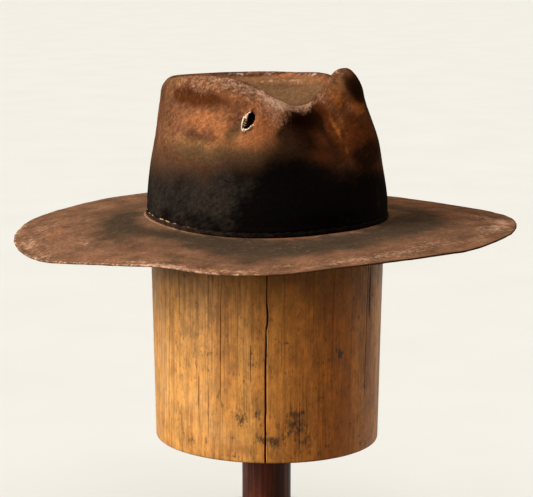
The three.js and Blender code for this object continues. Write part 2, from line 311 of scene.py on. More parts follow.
# The hat's shape, the same in the crown, the brim and the stitching
hat = {
    "seamLevel": 295,
    "head": (200, 175),    # the oval outside the felt at the seam, from front to back and across
    "felt": 1.8,
    "hemFlare": 1,
    "seat": 0.3,           # the crown's foot stands this far above the brim's felt
    "hemTop": 3.6,
    "brim": np.array([  # turn, reach past the oval, drop of the edge, dip of the seam
        [0, 106, 1.6, 0], [15, 107.5, 3.2, 0.6], [30, 107, 4, 1.5], [45, 107, 6.4, 3], [60, 107, 10.8, 4],
        [72, 107, 11.8, 4.4], [86, 107, 9, 4.4], [100, 107, 11.8, 3.7], [112, 107, 16.2, 2.9], [125, 107, 20.6, 1.5],
        [138, 107.5, 20.8, 0.6], [150, 109, 18.6, 0], [165, 108.5, 15, 0], [185, 107, 12, 0], [210, 107, 7.6, 1.5],
        [240, 107, 10.6, 4], [270, 107, 9.4, 4.4], [288, 107, 9.4, 3.5], [305, 107.5, 9, 2], [322, 106, 5.6, 0.8],
        [340, 103.5, 2.6, 0]], float),
    "brimSag": 0.45,
    "crown": np.array([  # turn, wall, side, shoulder, shoulder level, crest, crest level, bowl, bowl level
        [0, 97.5, 94.5, 85.5, 92, 69.5, 121.6, 50, 97], [6, 96, 91, 81, 91, 65.5, 120, 47, 96],
        [12, 93.5, 85.5, 72.5, 86, 60, 109.5, 43, 94], [18, 90.5, 78, 61.5, 79, 55, 97.5, 38, 92],
        [26, 86, 71, 55.5, 75.5, 50.5, 93.5, 33, 90], [36, 84.5, 71, 57.5, 77, 48.5, 93, 29, 89],
        [48, 84.5, 76, 65.5, 82, 50.5, 97, 30, 89.5], [56, 84.5, 79.3, 70.5, 85, 52.3, 101, 30, 90.2],
        [64, 84.4, 80.8, 73.2, 88, 54, 106, 30.3, 91.2], [78, 84, 80.5, 75, 92, 57.5, 112.3, 32, 94],
        [95, 85, 81.5, 76, 95, 62, 116, 34, 97], [112, 87, 83, 77, 97, 66, 116.6, 36, 98],
        [128, 90, 86, 80, 96, 69.5, 115, 38, 98], [147, 93.2, 89.4, 84.8, 93, 73.5, 112.4, 40, 98],
        [165, 95.4, 92.6, 88.8, 92, 75.5, 111.5, 41, 98], [182, 96, 93.5, 89, 91, 74, 110.6, 41, 98],
        [200, 94.5, 91.5, 86, 92, 69.5, 110.4, 40, 99], [222, 90, 86, 79, 94, 64, 110.6, 38, 100],
        [245, 86, 82, 74.5, 95, 58.5, 111.2, 36, 101], [270, 84, 80, 72.5, 95, 55.5, 111.3, 35, 101],
        [295, 84, 79, 71, 94, 54, 112.3, 35, 101], [312, 85.5, 79, 67.5, 90, 53.5, 110.5, 36, 99],
        [324, 87.5, 80, 66, 83, 54, 103, 38, 96], [333, 91, 84, 71, 83, 56.5, 100, 41, 94],
        [342, 93.5, 89, 79, 87, 60.5, 106, 45, 94], [351, 96.5, 93, 84.5, 91, 65.5, 116.5, 49, 96]], float),
    "wallLevels": (17, 46, 66),  # the wall's three knots over the hem
    "bowlFloor": ((16, 89.2), (0, 88)),  # radius and level of the bowl's last two knots
    "knots": [0, 0.035, 0.15, 0.31, 0.41, 0.51, 0.59, 0.66, 0.71, 0.84, 0.93, 1],
}


def seamDip(turn):
    return -roundTurn(hat["brim"][:, 0], hat["brim"][:, 3], turn)


# The crown's outer face at every turn, for each place from the hem, 0, to the middle of the bowl, 1
def crownFace(turns, places):
    table = hat["crown"].T
    wall, side, shoulder, shoulderUp, crest, crestUp, bowl, bowlUp = (roundTurn(table[0], column, turns)
                                                                      for column in table[1:])
    oval = ovalRadius(turns, *hat["head"])
    dip = seamDip(turns)
    flat = np.ones_like(turns)
    low, middle, high = hat["wallLevels"]
    (floorRadius, floorLevel), (endRadius, endLevel) = hat["bowlFloor"]
    radii = [oval + hat["hemFlare"], oval + 0.2, oval - 0.2, wall, side, shoulder, crest + 0.74 * (shoulder - crest),
             crest, crest - 0.36 * (crest - bowl), bowl, floorRadius * flat, endRadius * flat]
    levels = [dip + hat["seat"], dip + hat["hemTop"], low + 0.6 * dip, middle * flat, np.minimum(high, shoulderUp - 14),
              shoulderUp, crestUp - 0.3 * (crestUp - shoulderUp), crestUp, crestUp - 0.36 * (crestUp - bowlUp),
              bowlUp, floorLevel * flat, endLevel * flat]
    radii, levels = (alongKnots(hat["knots"], rows, places) for rows in (radii, levels))
    return spotAt(radii, turns, levels)


# Directions across a grid of points whose rows run round and climb
def gridNormals(points):
    across = np.roll(points, -1, 1) - np.roll(points, 1, 1)
    normals = np.cross(np.gradient(points, axis=0), across)
    length = np.linalg.norm(normals, axis=-1, keepdims=True)
    return normals / np.maximum(length, 1e-9)


crownLook = {
    "columns": 340,
    "rows": 132,
    # where columns and rows stand closer: extra, turn or place, reach
    "closeColumns": [(1.7, 72.6, 6), (0.5, 18, 24)],
    "closeRows": [(4.5, 0, 0.05), (1.3, 0.48, 0.04), (0.3, 0.64, 0.08)],
    "swell": 0.5,          # soft unevenness of the old felt
    # the folded hem and the stitched groove over it: height above the seam, bulge
    "hem": [(0.3, -0.6), (1.2, 0.35), (2.6, 0.6), (3.3, 0.2), (3.9, -0.35), (4.7, 0.1), (5.6, 0.3), (9, 0), (12, 0)],
    "tear": {"turn": 72.6, "place": 0.481, "width": 7.6, "length": 15, "lean": 28,
             "reach": 25, "depth": 12,    # felt further from its middle, or deeper in, isn't touched
             "curl": (1.1, -0.35, 2.2)},  # out at the left lip, at the right lip, and how far it fades
    # how pale the tear's lip is, by degrees clockwise from its top as the viewer sees it
    "lipPale": [
        (0, 0.1), (28, 0), (60, 0.15), (95, 0.35), (130, 0.9), (165, 1), (200, 1), (225, 0.5), (260, 0.75),
        (300, 0.9), (330, 0.6)],
    "lipWidth": 1.5,
    # soft dents and rolls: turn, place, wide, high, lean, millimetres out
    "dents": [
        (112, 0.515, 22, 11, 5, -2.2), (100, 0.455, 26, 12, 8, 1.2), (80, 0.445, 4, 9, 38, -1.1),
        (60, 0.5, 14, 18, 10, -0.9), (140, 0.42, 20, 20, 0, 0.8), (238, 0.45, 26, 22, -10, -1.4),
        (205, 0.35, 24, 16, 0, 0.8), (283, 0.4, 18, 26, 12, 1), (146, 0.42, 24, 34, 0, -2.2),
        (146, 0.6, 24, 12, 0, -0.8), (265, 0.79, 44, 4, 0, 1.1), (265, 0.83, 44, 5, 0, -0.8),
        (342, 0.585, 18, 11, 0, -3.2), (352, 0.6, 9, 8, 0, -1.2)],
    # where the char ends, as a level above the seam at each turn
    "charTop": [
        (0, 44), (8, 47), (16, 47), (27, 49), (38, 56), (48, 59), (58, 56), (66, 50), (76, 47), (84, 47), (92, 41),
        (105, 40), (120, 36), (140, 36), (165, 34), (200, 38), (235, 42), (270, 38), (300, 44), (325, 40), (345, 34)],
    "charFade": (25, -19),  # millimetres above the char's end where it begins and below it where it is full
    "smokeFade": (40, -4),
    "bowlFrom": (0.66, 0.74),  # places between which the crest turns into the bowl
    "hemFade": (4.6, 3.6),  # heights above the seam between which the dark hem and its rubbed foot begin
    "hemRubFade": (1.3, 0.6),
    # how much grey smoke lies over the brown at each turn
    "smokePart": [(0, 0.6), (8, 0.4), (22, 0.3), (34, 0.4), (48, 1), (90, 1), (200, 1), (330, 1), (350, 0.8)],
    # how rubbed the hem is at each turn
    "hemRub": [(0, 0.15), (30, 0.1), (60, 0.2), (90, 0.5), (105, 0.8), (150, 1), (180, 0.8), (260, 0.5), (330, 0.3)],
    # marks: turn, place, wide, high, lean, strength. Most are age marks; painted shade and a painted highlight are
    # noted at their lists
    "marks": {
        "worn": [
            (131, 0.63, 18, 12, 0, 0.4), (112, 0.62, 20, 12, 0, 0.4), (97, 0.64, 16, 9, 4, 0.35),
            (85, 0.63, 16, 10, 10, 0.4), (73, 0.625, 15, 9, 18, 0.45), (62, 0.62, 13, 9, 22, 0.5),
            (56, 0.585, 13, 10, 24, 0.7), (50, 0.615, 11, 9, 14, 0.75), (44, 0.63, 9, 6, 4, 0.6),
            (38, 0.635, 9, 5, 0, 0.8), (30, 0.64, 9, 5, -10, 0.8), (22, 0.645, 8, 5, -40, 0.6),
            (15, 0.65, 7, 6, -40, 0.5), (8, 0.655, 7, 8, -20, 0.55), (2, 0.65, 8, 7, 0, 0.3),
            (84, 0.58, 26, 9, 8, 0.2), (62, 0.55, 14, 9, 14, 0.45), (52, 0.52, 6, 10, 20, 0.45),
            (57, 0.47, 8, 8, 20, 0.3), (200, 0.63, 30, 9, 0, 0.6), (250, 0.64, 34, 9, 0, 0.7),
            (300, 0.63, 26, 9, 0, 0.6), (335, 0.62, 12, 9, 0, 0.7), (160, 0.64, 26, 9, 0, 0.5)],
        "rust": [
            (99, 0.478, 22, 12, 5, 0.65), (86, 0.452, 20, 9, 8, 0.6), (115, 0.465, 16, 10, 6, 0.3),
            (68, 0.48, 12, 12, 0, 0.7), (60, 0.45, 12, 14, 14, 0.8), (53, 0.485, 7, 14, 20, 0.7),
            (78, 0.42, 16, 8, 8, 0.6), (90, 0.395, 20, 6, 6, 0.5), (134, 0.45, 26, 24, 0, 0.2),
            (78, 0.55, 22, 8, 10, 0.5), (60, 0.56, 12, 8, 14, 0.4), (270, 0.8, 44, 8, 0, 0.9),
            (230, 0.76, 40, 7, 0, 0.8), (310, 0.8, 24, 8, 0, 0.8), (178, 0.47, 40, 20, 0, 0.6),
            (252, 0.46, 40, 20, 0, 0.6), (322, 0.44, 20, 20, 0, 0.5), (5, 0.512, 8, 9, 0, 0.6),
            (359, 0.515, 8, 9, 0, 0.6)],
        "tan": [
            (120, 0.6, 30, 14, 0, 0.35), (138, 0.56, 16, 30, 0, 0.35), (96, 0.61, 20, 9, 6, 0.2),
            (76, 0.59, 18, 9, 12, 0.3), (9, 0.58, 7, 14, 0, 0.4), (54, 0.595, 13, 13, 20, 1.1),
            (8, 0.62, 10, 14, 0, 0.4), (133, 0.42, 16, 16, 0, 0.3), (92, 0.385, 22, 5, 6, 0.7),
            (104, 0.405, 22, 6, 4, 0.5), (78, 0.42, 16, 8, 8, 0.5), (118, 0.41, 18, 8, 4, 0.4),
            (62, 0.4, 10, 8, 0, 0.5), (14, 0.62, 8, 12, 0, 0.3)],
        # olive is greenish-grey felt, but on the bowl floor, in the crease by the tear, at the pinch's edge and in the
        # front hollow it is painted shade
        "olive": [
            (106, 0.385, 30, 8, 4, 0.7), (90, 0.362, 26, 6, 4, 0.8), (72, 0.375, 20, 6, 4, 0.7),
            (60, 0.37, 14, 6, 0, 0.7), (80.5, 0.445, 5, 11, 38, 1), (78, 0.462, 3, 9, 30, 1.1),
            (47, 0.5, 5, 12, 10, 0.9), (52, 0.445, 6, 9, 20, 1), (4, 0.437, 10, 10, 0, 1.1),
            (359, 0.405, 10, 8, 0, 0.8), (60, 0.87, 44, 16, 0, 1), (290, 0.905, 34, 13, 0, 1.1),
            (272, 0.85, 36, 7, 0, 1.1), (320, 0.86, 14, 9, 0, 0.7), (250, 0.9, 36, 14, 0, 0.9),
            (215, 0.38, 36, 12, 0, 0.6)],
        # these deep brown marks are all painted shade: in the pinches, on the beak's far side, under the shoulder roll
        # and down the left edge
        "paintedShade": [
            (107, 0.53, 24, 6, 5, 1.1), (88, 0.53, 14, 5, 10, 0.4), (122, 0.53, 14, 8, 0, 0.5),
            (26, 0.47, 15, 24, 0, 2), (3, 0.59, 12, 12, 0, 0.7), (14, 0.5, 4, 16, 0, 0.4), (21, 0.4, 12, 14, 0, 1.4),
            (31, 0.55, 14, 10, 0, 1), (19, 0.55, 6, 14, -30, 1.3), (33, 0.38, 12, 10, 0, 1),
            (10, 0.55, 6, 12, 0, 0.6), (9, 0.45, 7, 12, 0, 1), (0, 0.46, 10, 12, 0, 0.5), (355, 0.54, 10, 18, 0, 1),
            (8, 0.37, 10, 12, 0, 1.2), (0, 0.38, 12, 14, 0, 1), (150, 0.45, 10, 50, 0, 0.3),
            (326, 0.47, 12, 24, 0, 0.7)],
        # the darks on the beak are stains; those in the pinch pits, down the left edge, beside the tear's curled lip
        # and under the fold in the bowl are painted shade
        "dark": [
            (357, 0.58, 10, 14, 0, 0.62), (6, 0.592, 5, 9, 0, 0.6), (107, 0.545, 14, 4, 5, 0.25),
            (136, 0.45, 8, 50, 0, 0.3), (43, 0.51, 9, 17, 16, 0.8), (47.5, 0.45, 9, 12, 24, 0.8),
            (38, 0.555, 14, 10, 0, 0.85), (37, 0.47, 12, 18, 0, 0.9), (31, 0.57, 9, 7, -10, 0.9),
            (42, 0.4, 14, 8, 0, 1), (23, 0.54, 6, 9, -30, 0.8), (21, 0.38, 8, 10, 0, 0.7), (2.5, 0.565, 8, 9, 0, 0.6),
            (353, 0.55, 8, 16, 0, 0.7), (8, 0.35, 12, 8, 0, 1), (0, 0.36, 12, 10, 0, 1), (150, 0.45, 10, 50, 0, 0.3),
            (18.5, 0.5, 2.5, 14, 0, 0.8), (29, 0.44, 10, 12, 0, 0.45), (345, 0.59, 10, 12, 0, 0.5),
            (77.4, 0.464, 2, 6, 30, 0.45), (240, 0.69, 80, 3.5, 0, 0.7), (268, 0.83, 34, 4, 0, 0.45),
            (326, 0.47, 12, 24, 0, 0.5), (350, 0.45, 10, 24, 0, 0.8)],
        # the marks along the front ridge, at turns 11 to 15, are a painted highlight; the rest are rust-brown marks on
        # the char
        "emberAndHighlight": [
            (13, 0.59, 3.2, 9, -10, 0.55), (14.2, 0.54, 2.6, 8, -6, 0.45), (14.4, 0.49, 2, 8, 4, 0.7),
            (15.3, 0.44, 1.9, 7, 18, 0.7), (15.4, 0.385, 1.5, 6, 14, 0.7), (14.8, 0.33, 1.6, 6, 10, 0.45),
            (11, 0.585, 4, 11, -10, 0.5), (10.8, 0.53, 4, 12, 0, 0.4), (12, 0.47, 3, 9, 8, 0.4),
            (22, 0.46, 4, 8, 20, 0.25), (4, 0.515, 6, 6, -10, 0.75), (359, 0.51, 5, 7, 0, 0.7),
            (15.2, 0.268, 2.6, 8, 0, 0.3), (17, 0.235, 2, 5, 0, 0.2), (22.5, 0.085, 1.8, 1.8, 0, 0.45),
            (25.5, 0.1, 1.6, 1.6, 0, 0.4), (358.8, 0.129, 3, 6, 0, 0.35), (6, 0.3, 3, 16, 0, 0.3),
            (357, 0.3, 4, 22, 0, 0.35), (1, 0.2, 3, 10, 0, 0.25)],
        "greyed": [
            (112, 0.2, 34, 30, 0, 0.9), (84, 0.24, 26, 22, 0, 0.95), (88, 0.12, 24, 14, 0, 0.4),
            (138, 0.18, 24, 30, 0, 0.9), (220, 0.2, 60, 30, 0, 0.7)],
        "dusted": [
            (55, 0.6, 13, 8, 22, 0.9), (48, 0.625, 10, 6, 8, 0.85), (63, 0.61, 13, 6, 20, 0.55),
            (6, 0.655, 9, 6, -30, 0.35), (262, 0.79, 30, 2.6, 0, 0.45), (290, 0.783, 24, 2.6, 0, 0.35),
            (236, 0.805, 16, 2.6, 0, 0.3)],
        "frost": [
            (55, 0.59, 14, 9, 22, 0.75), (50, 0.625, 10, 7, 10, 0.75), (66, 0.615, 16, 7, 18, 0.45),
            (110, 0.63, 24, 6, 0, 0.35), (215, 0.68, 24, 4, 0, 0.9), (240, 0.687, 24, 4, 0, 0.9),
            (280, 0.681, 24, 4, 0, 0.8), (302, 0.687, 16, 4, 0, 0.8)],
    },
    "felt": ("#40291b", "#523423", "#65442e"),
    "nap": (-34, (11, 2)),  # its lean in degrees, and the length and width of its streaks
    "grain": 0.3,
    "sheen": 0.008,
    # colours laid over the felt in this order: see layOver
    "layers": [
        ("#8c5a37", "rust", "smoky", 1.2, 0.1, 1.1, 0.9), ("#86603a", "tan", "smoky", 1.2, 0.15, 1.1, 0.8),
        ("#4f3d28", "olive", "smoky", 1, 0.15, 1, 0.8), ("#614831", "bowl", "clouds", 0.8, 0.3, 0.9, 0.7),
        ("#40200a", "paintedShade", "smoky", 0.9, 0.1, 1, 0.92), ("#1a0d05", "dark", "smoky", 0.8, 0.1, 1, 0.92),
        ("#38281a", "smoke", "smoky", 1.2, 0.1, 1.1, 0.88), ("#a88770", "worn", "grit", 2.4, 0.3, 1.6, 0.82),
        ("#d6b49c", "dusted", "grit", 2.2, 0.3, 1.5, 0.6), ("#a59a92", "frost", "specks", 3, 0.8, 1.5, 0.7),
        ("#020202", "char", "smoky", 0.9, 0.15, 0.9, 0.985), ("#332d27", "greyed", "smoky", 1.6, 0.3, 1.5, 0.56),
        ("#7d4e22", "emberAndHighlight", "smoky", 1.2, 0.2, 1.1, 0.8), ("#2b1f17", "hem", "specks", 1.5, 0.2, 1.2, 0.85),
        ("#7d6048", "hemRub", "specks", 2.4, 0.5, 1.4, 0.75), ("#c9b79c", "lip", "specks", 2, 0.4, 0.9, 0.9),
        ("#6e5d48", "lining", "fuzz", 0.2, 0.4, 0.8, 0.7),
    ],
}


# The tear's rim, in millimetres to the right of its middle and up. It runs from its foot up the right side
def tearOutline():
    tear = crownLook["tear"]
    half, width = tear["length"] / 2, tear["width"]
    lean = math.radians(-tear["lean"])
    sides = []
    for sign in (1, -1):
        corners = np.array([(0, -half), (sign * 0.6 * width, -0.75 * half), (sign * 0.78 * width, half), (0, half)])
        part = np.linspace(0, 1, 48)[:-1, None]
        back = 1 - part
        sides.append(back ** 3 * corners[0] + 3 * back ** 2 * part * corners[1] + 3 * back * part ** 2 * corners[2]
                     + part ** 3 * corners[3])
    x, y = np.concatenate([sides[0], [(0, half)], sides[1][:0:-1]]).T
    outline = np.stack([x * math.cos(lean) - y * math.sin(lean), x * math.sin(lean) + y * math.cos(lean)], -1)
    rough = lineNoise(outline[:, 0], 1.3, 8, outline[:, 1])
    return outline * (1 + 0.07 * rough)[:, None]


def hemRubbed(turns):
    return np.clip(roundPairs(crownLook["hemRub"], turns), 0, 1)


def insideOutline(points, outline):
    inside = np.zeros(points.shape[:-1], bool)
    for (x1, y1), (x0, y0) in zip(outline, np.roll(outline, 1, 0)):
        if y1 == y0:
            continue
        crosses = (y1 > points[..., 1]) != (y0 > points[..., 1])
        inside ^= crosses & (points[..., 0] < (x0 - x1) * (points[..., 1] - y1) / (y0 - y1) + x1)
    return inside


# The tear's middle on the felt, and the directions to its right, up and out
def tearAxes():
    tear = crownLook["tear"]
    centre = crownFace(np.array([tear["turn"]]), [tear["place"]])[0, 0]
    return centre, rightAt(tear["turn"]), np.array([0, 0, 1.0]), outAt(tear["turn"])


def makeCrown(material):
    look = crownLook
    tear = look["tear"]
    turns = crowded(-180, 180, look["columns"] + 1, look["closeColumns"])[:-1]
    places = crowded(0, 0.985, look["rows"], look["closeRows"])
    points = crownFace(turns, places)
    normals = gridNormals(points)

    above = points[..., 2] - hat["seamLevel"] - seamDip(turns)[None]
    bulge = np.interp(above, *zip(*look["hem"])) * (places < 0.16)[:, None]
    points = points + normals * bulge[..., None]

    # soft unevenness, mostly outwards, so that the felt stays off the block
    swell = 0.6 * softNoise(points, 26, 1) + 0.3 * softNoise(points, 10, 2) + 0.1 * softNoise(points, 4, 9)
    free = smoothStep(0.03, 0.12, places)[:, None]
    lift = free * (look["swell"] * (0.5 * swell + 0.4) - 0.1)
    lift = lift + dentLift(points, normals, turns, places, look["dents"])
    points = points + normals * lift[..., None]

    # the tear: grid points beside it move onto its outline, and the lip on the left curls out
    outline = tearOutline()
    centre, right, up, out = tearAxes()
    flat = np.stack([(points - centre) @ right, (points - centre) @ up], -1)
    near = ((points - centre) @ out > -tear["depth"]) & (np.linalg.norm(flat, axis=-1) < tear["reach"])
    inside = insideOutline(flat, outline) & near
    rowCount, count = len(places), len(turns)
    faces = np.array(gridFaces(rowCount, count))
    gone = inside.reshape(-1)[faces].sum(1) >= 2
    lip = np.intersect1d(faces[gone], faces[~gone])
    flat = flat.reshape(-1, 2)
    points = points.reshape(-1, 3)
    for i in lip:
        away = outline - flat[i]
        nearest = away[np.argmin((away ** 2).sum(1))]
        points[i] += nearest[0] * right + nearest[1] * up
        flat[i] += nearest
    closeBy = np.flatnonzero(near)
    distance = np.array([np.sqrt(((outline - flat[i]) ** 2).sum(1).min()) for i in closeBy])
    leftOut, rightOut, fade = tear["curl"]
    onLeft = flat[closeBy, 0] < 0.36 * flat[closeBy, 1]
    points[closeBy] += (np.where(onLeft, leftOut, rightOut) * np.exp(-(distance / fade) ** 2))[:, None] * out
    lipPale = np.zeros(inside.size)
    clock = np.degrees(np.arctan2(flat[closeBy, 0], flat[closeBy, 1]))
    lipPale[closeBy] = np.clip(roundPairs(look["lipPale"], clock), 0, 1)
    lipPale[closeBy] *= np.exp(-(distance / look["lipWidth"]) ** 2)
    points = points.reshape(rowCount, count, 3)
    normals = gridNormals(points)

    # the inner face, the closed bowl, the foot and the cut edge of the tear
    inner = points - hat["felt"] * normals
    inner[0, :, 2] = points[0, :, 2]  # the foot of the wall is level
    middleOut = np.array([[0, 0, points[-1, :, 2].mean() - 0.05]])
    middleIn = middleOut - [[0, 0, hat["felt"]]]
    total = rowCount * count
    within = total + 1  # from a point of the outer face to the same one of the inner face
    allPoints = np.concatenate([points.reshape(-1, 3), middleOut, inner.reshape(-1, 3), middleIn])
    last = total - count
    allFaces = [tuple(face) for face in faces[~gone]] + [tuple(face[::-1] + within) for face in faces[~gone]]
    allFaces += fanFaces(last, count, total) + fanFaces(last + within, count, total + within)
    allFaces += [((i + 1) % count, i, within + i, within + (i + 1) % count) for i in range(count)]
    goneEdges = dict.fromkeys((face[k], face[(k + 1) % 4]) for face in faces[gone] for k in range(4))
    allFaces += [(a, b, b + within, a + within) for a, b in goneEdges if (b, a) not in goneEdges]

    # how each place on the felt has aged
    level = points[..., 2] - hat["seamLevel"]
    charLevel = roundPairs(look["charTop"], turns)[None]
    charLevel = charLevel + 3 * softNoise(points, 16, 11) + 1.5 * softNoise(points, 6, 12)
    bowlPart = smoothStep(*look["bowlFrom"], places)[:, None]
    above = level - seamDip(turns)[None]
    rubbed = hemRubbed(turns)[None]
    smoky = np.clip(roundPairs(look["smokePart"], turns), 0, 1)[None]
    ageing = {
        "char": smoothStep(*look["charFade"], level - charLevel) * (1 - bowlPart),
        "smoke": smoothStep(*look["smokeFade"], level - charLevel) * (1 - bowlPart) * smoky,
        "bowl": bowlPart + 0 * level,
        "hem": smoothStep(*look["hemFade"], above) * (0.25 + 0.75 * rubbed),
        "hemRub": smoothStep(*look["hemRubFade"], above) * rubbed,
        "lip": lipPale,
    }
    for label, rows in look["marks"].items():
        ageing[label] = np.minimum(patchCover(points, normals, turns, places, rows), 1.1)
    # the nap's own map: 1.5 mm for a degree of turn, and the run up the felt
    run = np.concatenate([[0], np.cumsum(np.linalg.norm(np.diff(points, axis=0), axis=-1).mean(1))])
    ageing["nap"] = np.stack([1.5 * turns[None] + 0 * level, run[:, None] + 0 * level, 0 * level], -1) / 1000
    attributes = {"lining": np.repeat([0, 1], within)}
    for label, values in ageing.items():
        values = values.reshape((total,) + values.shape[2:])
        attributes[label] = np.concatenate([values, values[-1:]] * 2)
    return makePiece("crown_felt_shell", allPoints, allFaces, material, attributes, "crown")


# Wool felt: matted fibre with no weave, so it is fully matt, with a faint pale sheen at grazing angles,
# a soft fuzz and cloudy colour where sweat, smoke and sun have reached it
def feltMaterial(name, look):
    material, tree, shader, place = newMaterial(name)
    # real felt fibre is 0.03 mm, drawn here as fuzz of 1.6 mm so that it shows
    noises = {}
    for label, size, detail, roughness in (("fuzz", 1.6, 3, 0.7), ("specks", 3.6, 5, 0.7), ("clouds", 24, 5, 0.6)):
        noises[label] = addNode(tree, "TexNoise", {"Vector": place, "Scale": 1000 / size, "Detail": detail,
                                                   "Roughness": roughness})
    # the brushed nap lies in streaks
    lean, (length, width) = look["nap"]
    nap = addNode(tree, "Attribute", attribute_name="nap").outputs["Vector"]
    slanted = addNode(tree, "Mapping", {"Vector": nap, "Rotation": (0, 0, math.radians(lean)),
                                        "Scale": (length / 1000, width / 1000, 1)}, vector_type="TEXTURE")
    noises["streaks"] = addNode(tree, "TexNoise", {"Vector": slanted, "Scale": 1.0, "Detail": 4.0,
                                                   "Roughness": 0.6})
    for label, part, first, second in (("smoky", 0.6, "clouds", "streaks"), ("smoky", 0.4, "smoky", "specks"),
                                       ("grit", 0.5, "specks", "fuzz")):
        noises[label] = addNode(tree, "Mix", {0: part, 2: noises[first], 3: noises[second]})
    dark, middle, light = look["felt"]
    ground = addNode(tree, "ValToRGB", {"Fac": noises["clouds"]},
                     stops=[(0.3, dark), (0.7, light), (0.5, middle)])
    colour = layOver(tree, ground, look["layers"], noises)
    # each noise darkens and lightens the whole by its depth
    for label, depth in (("fuzz", look["grain"]), ("specks", 0.3), ("streaks", 0.16)):
        shade = addNode(tree, "MapRange", {"Value": noises[label], "From Min": 0.3, "From Max": 0.7,
                                           "To Min": 1 - depth, "To Max": 1 + depth})
        colour = addNode(tree, "VectorMath", {0: colour, "Scale": shade}, operation="SCALE")
    relief = addNode(tree, "Math", {0: noises["fuzz"], 1: 0.5, 2: noises["specks"]},
                     operation="MULTIPLY_ADD")
    bump = addNode(tree, "Bump", {"Height": relief, "Strength": 0.35, "Distance": 0.0006})
    setSockets(tree, shader, {"Base Color": colour, "Normal": bump, "Roughness": 0.95, "IOR": 1.45,
                              "Specular IOR Level": 0.03, "Sheen Weight": look["sheen"], "Sheen Roughness": 0.45,
                              "Sheen Tint": fromHex("#c9a98c")})
    return material


